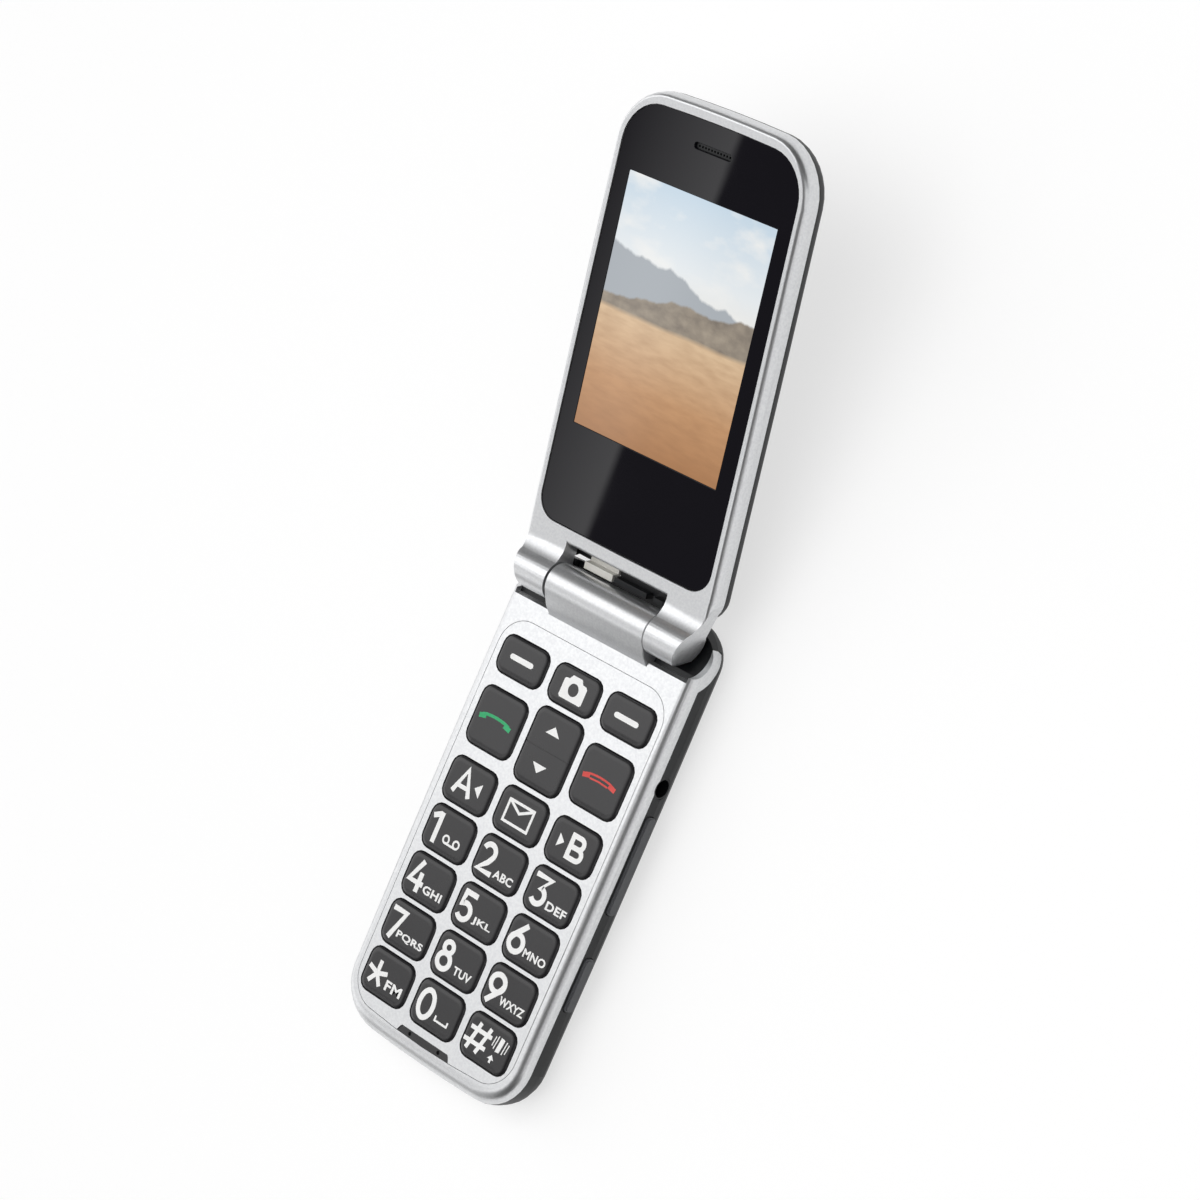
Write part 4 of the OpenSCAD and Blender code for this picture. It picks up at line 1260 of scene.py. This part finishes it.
@dataclass
class Studio:
    """Pale floor, soft lamps, room and camera.

    Attributes:
        eye: Place of the camera in metres.
        right: Camera's right in the frame.
        up: Camera's up in the frame.
        back: Direction from the object to the camera.
        lens: Focal length in mm.
        sensor: Sensor width in mm.
        reach: Nearest and farthest distance that the camera sees, in metres.
        floor_size: Side of the floor in metres.
        floor_drop: How far the floor lies below the frame's zero in metres.
        floor_glow: Level of the floor's white to the camera.
        floor_fade: Distances from the middle, in metres, over which the shadow fades.
        floor_white: Share of that white within the first distance, and past the second.
        floor_mirrored: Share of that white in reflections.
        aim: What the lamps face, in metres.
        lamps: The lamps.
        left_wall: Light from the left.
        right_wall: Light from the right.
        all_round: Changes of both along the phone.
        room_level: Level of the bright walls, 1 being white.
        card_edge: Direction square to the edge of the card that the window mirrors.
        card_reach: How far the card's levels run on each side of its edge.
        card_middle: Direction of the card's middle.
        card_rim: Cosines between which the card begins.
        card_levels: Levels across the card, on both sides of its edge.
        card_gain: Level of the card's brightest part against the wall around it.
    """

    eye: Triple = (0.37157, 0.10825, 0.49503)
    right: Triple = (0.70186, 0.39307, -0.59404)
    up: Triple = (-0.36996, 0.91381, 0.16755)
    back: Triple = (0.60870, 0.10218, 0.78679)
    lens: float = 98.235
    sensor: float = 36.0
    reach: Point = (0.01, 20.0)
    floor_size: float = 6.0
    floor_drop: float = 0.00005
    floor_glow: float = 1.12
    floor_fade: Point = (0.2, 0.9)
    floor_white: Point = (0.6, 1.0)
    floor_mirrored: float = 0.3
    aim: Triple = (0.0, 0.04, 0.01)
    lamps: tuple[Lamp, ...] = (
        Lamp("key_soft_box", (-0.62, 0.16, 0.82), 0.6, 0.4),
        Lamp("overhead_fill", (0.1, 0.1, 1.0), 1.0, 6.5, mirrored=False),
    )
    left_wall: tuple[Band, ...] = (Band("X", -0.42, 0.12, 1.0, 0.03),)
    right_wall: tuple[Band, ...] = (
        Band("X", 0.5, 0.95, 0.0, 0.7), Band("Y", -0.42, -0.2, 0.12, 1.0),
    )
    all_round: tuple[Band, ...] = (
        Band("Y", -0.8, -0.56, 0.3, 1.0), Band("Y", -0.37, -0.28, 1.25, 1.0),
        Band("Y", -0.27, -0.1, 0.8, 1.0), Band("Y", 0.33, 0.52, 1.0, 0.1),
    )
    room_level: float = 1.24
    card_edge: Triple = (0.7813, -0.3017, 0.5464)
    card_reach: float = 0.15
    card_middle: Triple = (-0.619, -0.436, 0.653)
    card_rim: Point = (0.966, 0.988)
    card_levels: Stops = (
        (0.0, "CFCFCF"), (0.3, "727272"), (0.383, "727272"), (0.498, "FFFFFF"), (0.502, "565656"),
        (0.7, "565656"), (1.0, "CFCFCF"),
    )
    card_gain: float = 1.6

    def camera(self) -> None:
        """Set the camera at the photograph's view."""
        data = bpy.data.cameras.new("studio_camera")
        data.lens = self.lens
        data.sensor_width = self.sensor
        data.sensor_fit = "HORIZONTAL"
        data.clip_start, data.clip_end = self.reach
        camera = bpy.data.objects.new("studio_camera", data)
        bpy.context.scene.collection.objects.link(camera)
        axes = Matrix((self.right, self.up, self.back)).transposed()
        camera.matrix_world = Matrix.Translation(self.eye) @ axes.to_4x4()
        bpy.context.scene.camera = camera

    def paper(self) -> bpy.types.Material:
        """Make the floor's material, white to the camera apart from the object's shadow."""
        material = bpy.data.materials.new("matt_white_paper")
        material.use_nodes = True
        tree = material.node_tree
        shader = tree.nodes["Principled BSDF"]
        shader.inputs["Base Color"].default_value = linear("F2F2F2")
        shader.inputs["Roughness"].default_value = 0.9
        shader.inputs["Specular IOR Level"].default_value = 0.0
        seen = add_node(tree, "LightPath")
        glow = add_node(tree, "Emission", {"Color": linear("FFFFFF"), "Strength": self.floor_glow})
        place = add_node(tree, "TexCoord")
        distance = add_node(tree, "VectorMath", {0: place.outputs["Object"]}, operation="LENGTH")
        white = add_node(
            tree,
            "MapRange",
            dict(zip(RANGE, (distance.outputs["Value"], *self.floor_fade, *self.floor_white))),
            interpolation_type="SMOOTHSTEP",
        )
        camera = add_node(
            tree,
            "Math",
            {0: seen.outputs["Is Camera Ray"], 1: white.outputs["Result"]},
            operation="MULTIPLY",
        )
        share = add_node(
            tree,
            "Math",
            {0: seen.outputs["Is Glossy Ray"], 1: self.floor_mirrored, 2: camera.outputs[0]},
            operation="MULTIPLY_ADD",
        )
        both = add_node(
            tree, "MixShader", {0: share.outputs[0], 1: shader.outputs["BSDF"], 2: glow.outputs[0]},
        )
        tree.links.new(both.outputs[0], tree.nodes["Material Output"].inputs["Surface"])
        return material

    def floor(self) -> None:
        """Lay the pale floor."""
        shape = bmesh.new()
        bmesh.ops.create_grid(shape, x_segments=4, y_segments=4, size=self.floor_size / 2)
        bmesh.ops.translate(shape, verts=shape.verts[:], vec=(0, 0, -self.floor_drop))
        mesh = bpy.data.meshes.new("floor")
        shape.to_mesh(mesh)
        shape.free()
        mesh.materials.append(self.paper())
        floor = bpy.data.objects.new("floor", mesh)
        bpy.context.scene.collection.objects.link(floor)

    def hang(self, lamp: Lamp) -> None:
        """Hang a soft box so that it faces the phone."""
        data = bpy.data.lights.new(lamp.name, "AREA")
        data.shape = "SQUARE"
        data.size = lamp.size
        data.energy = lamp.watts
        light = bpy.data.objects.new(lamp.name, data)
        bpy.context.scene.collection.objects.link(light)
        light.location = lamp.place
        aim = Vector(self.aim) - Vector(lamp.place)
        light.rotation_euler = aim.to_track_quat("-Z", "Y").to_euler()
        light.visible_glossy = lamp.mirrored

    @staticmethod
    def through(
        tree: bpy.types.NodeTree, axes: bpy.types.Node, start: Any, bands: Sequence[Band]
    ) -> Socket:
        """Take a level of light through bands.

        Args:
            tree: The room's nodes.
            axes: Node that gives a direction's parts.
            start: The level before them.
            bands: The bands.

        Returns:
            Socket of the level after them.
        """
        level = start
        for band in bands:
            ends = (axes.outputs[band.axis], band.low, band.high, band.start, band.stop)
            edge = add_node(
                tree, "MapRange", dict(zip(RANGE, ends)), interpolation_type="SMOOTHSTEP"
            )
            level = add_node(
                tree, "Math", {0: level, 1: edge.outputs["Result"]}, operation="MULTIPLY"
            ).outputs[0]
        return level

    def card(self, tree: bpy.types.NodeTree, way: Socket) -> Socket:
        """Hang the card that the window mirrors before the left wall.

        Args:
            tree: The room's nodes.
            way: Direction that is looked in.

        Returns:
            Socket of its level against the wall's, 1 beside it.
        """
        across, middle = (
            add_node(
                tree, "VectorMath", {0: way, 1: heading}, operation="DOT_PRODUCT"
            ).outputs["Value"]
            for heading in (self.card_edge, self.card_middle)
        )
        place = add_node(
            tree, "MapRange", dict(zip(RANGE, (across, -self.card_reach, self.card_reach))),
        )
        levels = add_node(tree, "ValToRGB", {"Fac": place.outputs["Result"]})
        set_ramp(levels, self.card_levels)
        glare = add_node(
            tree, "Math", {0: levels.outputs["Color"], 1: self.card_gain}, operation="MULTIPLY",
        )
        near = add_node(
            tree,
            "MapRange",
            dict(zip(RANGE, (middle, *self.card_rim))),
            interpolation_type="SMOOTHSTEP",
        )
        return add_node(
            tree,
            "Mix",
            {0: near.outputs["Result"], 2: 1.0, 3: glare.outputs[0]},
            data_type="FLOAT",
        ).outputs[0]

    def room(self) -> None:
        """Light the room: bright at the left, dark above, dim at the ends, with the card."""
        world = bpy.data.worlds.new("studio_room")
        bpy.context.scene.world = world
        world.use_nodes = True
        tree = world.node_tree
        tree.nodes.clear()
        way = add_node(tree, "TexCoord").outputs["Generated"]
        axes = add_node(tree, "SeparateXYZ", {0: way})
        walls = add_node(
            tree,
            "Math",
            {
                0: self.through(tree, axes, self.room_level, self.left_wall),
                1: self.through(tree, axes, self.room_level, self.right_wall),
            },
            operation="ADD",
        )
        level = add_node(
            tree,
            "Math",
            {
                0: self.through(tree, axes, walls.outputs[0], self.all_round),
                1: self.card(tree, way),
            },
            operation="MULTIPLY",
        )
        seen = add_node(tree, "LightPath").outputs["Is Camera Ray"]
        shown = add_node(tree, "Mix", {0: seen, 2: level.outputs[0], 3: 1.0}, data_type="FLOAT")
        light = add_node(tree, "Background", {"Strength": shown.outputs[0]})
        light.inputs["Color"].default_value = linear("FFFFFF")
        add_node(tree, "OutputWorld", {"Surface": light.outputs[0]})

    def build(self) -> None:
        """Set up the whole studio."""
        self.camera()
        self.floor()
        self.room()
        for lamp in self.lamps:
            self.hang(lamp)
        bpy.context.scene.view_settings.view_transform = "Standard"


def main() -> None:
    """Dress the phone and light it."""
    logging.basicConfig(level=logging.INFO, format="%(name)s: %(message)s")
    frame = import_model()
    shop = Workshop(frame)
    for part in (Base(), Keypad(), Lid(), Hinge()):
        part.build(shop)
    Studio().build()


if __name__ == "__main__":
    main()
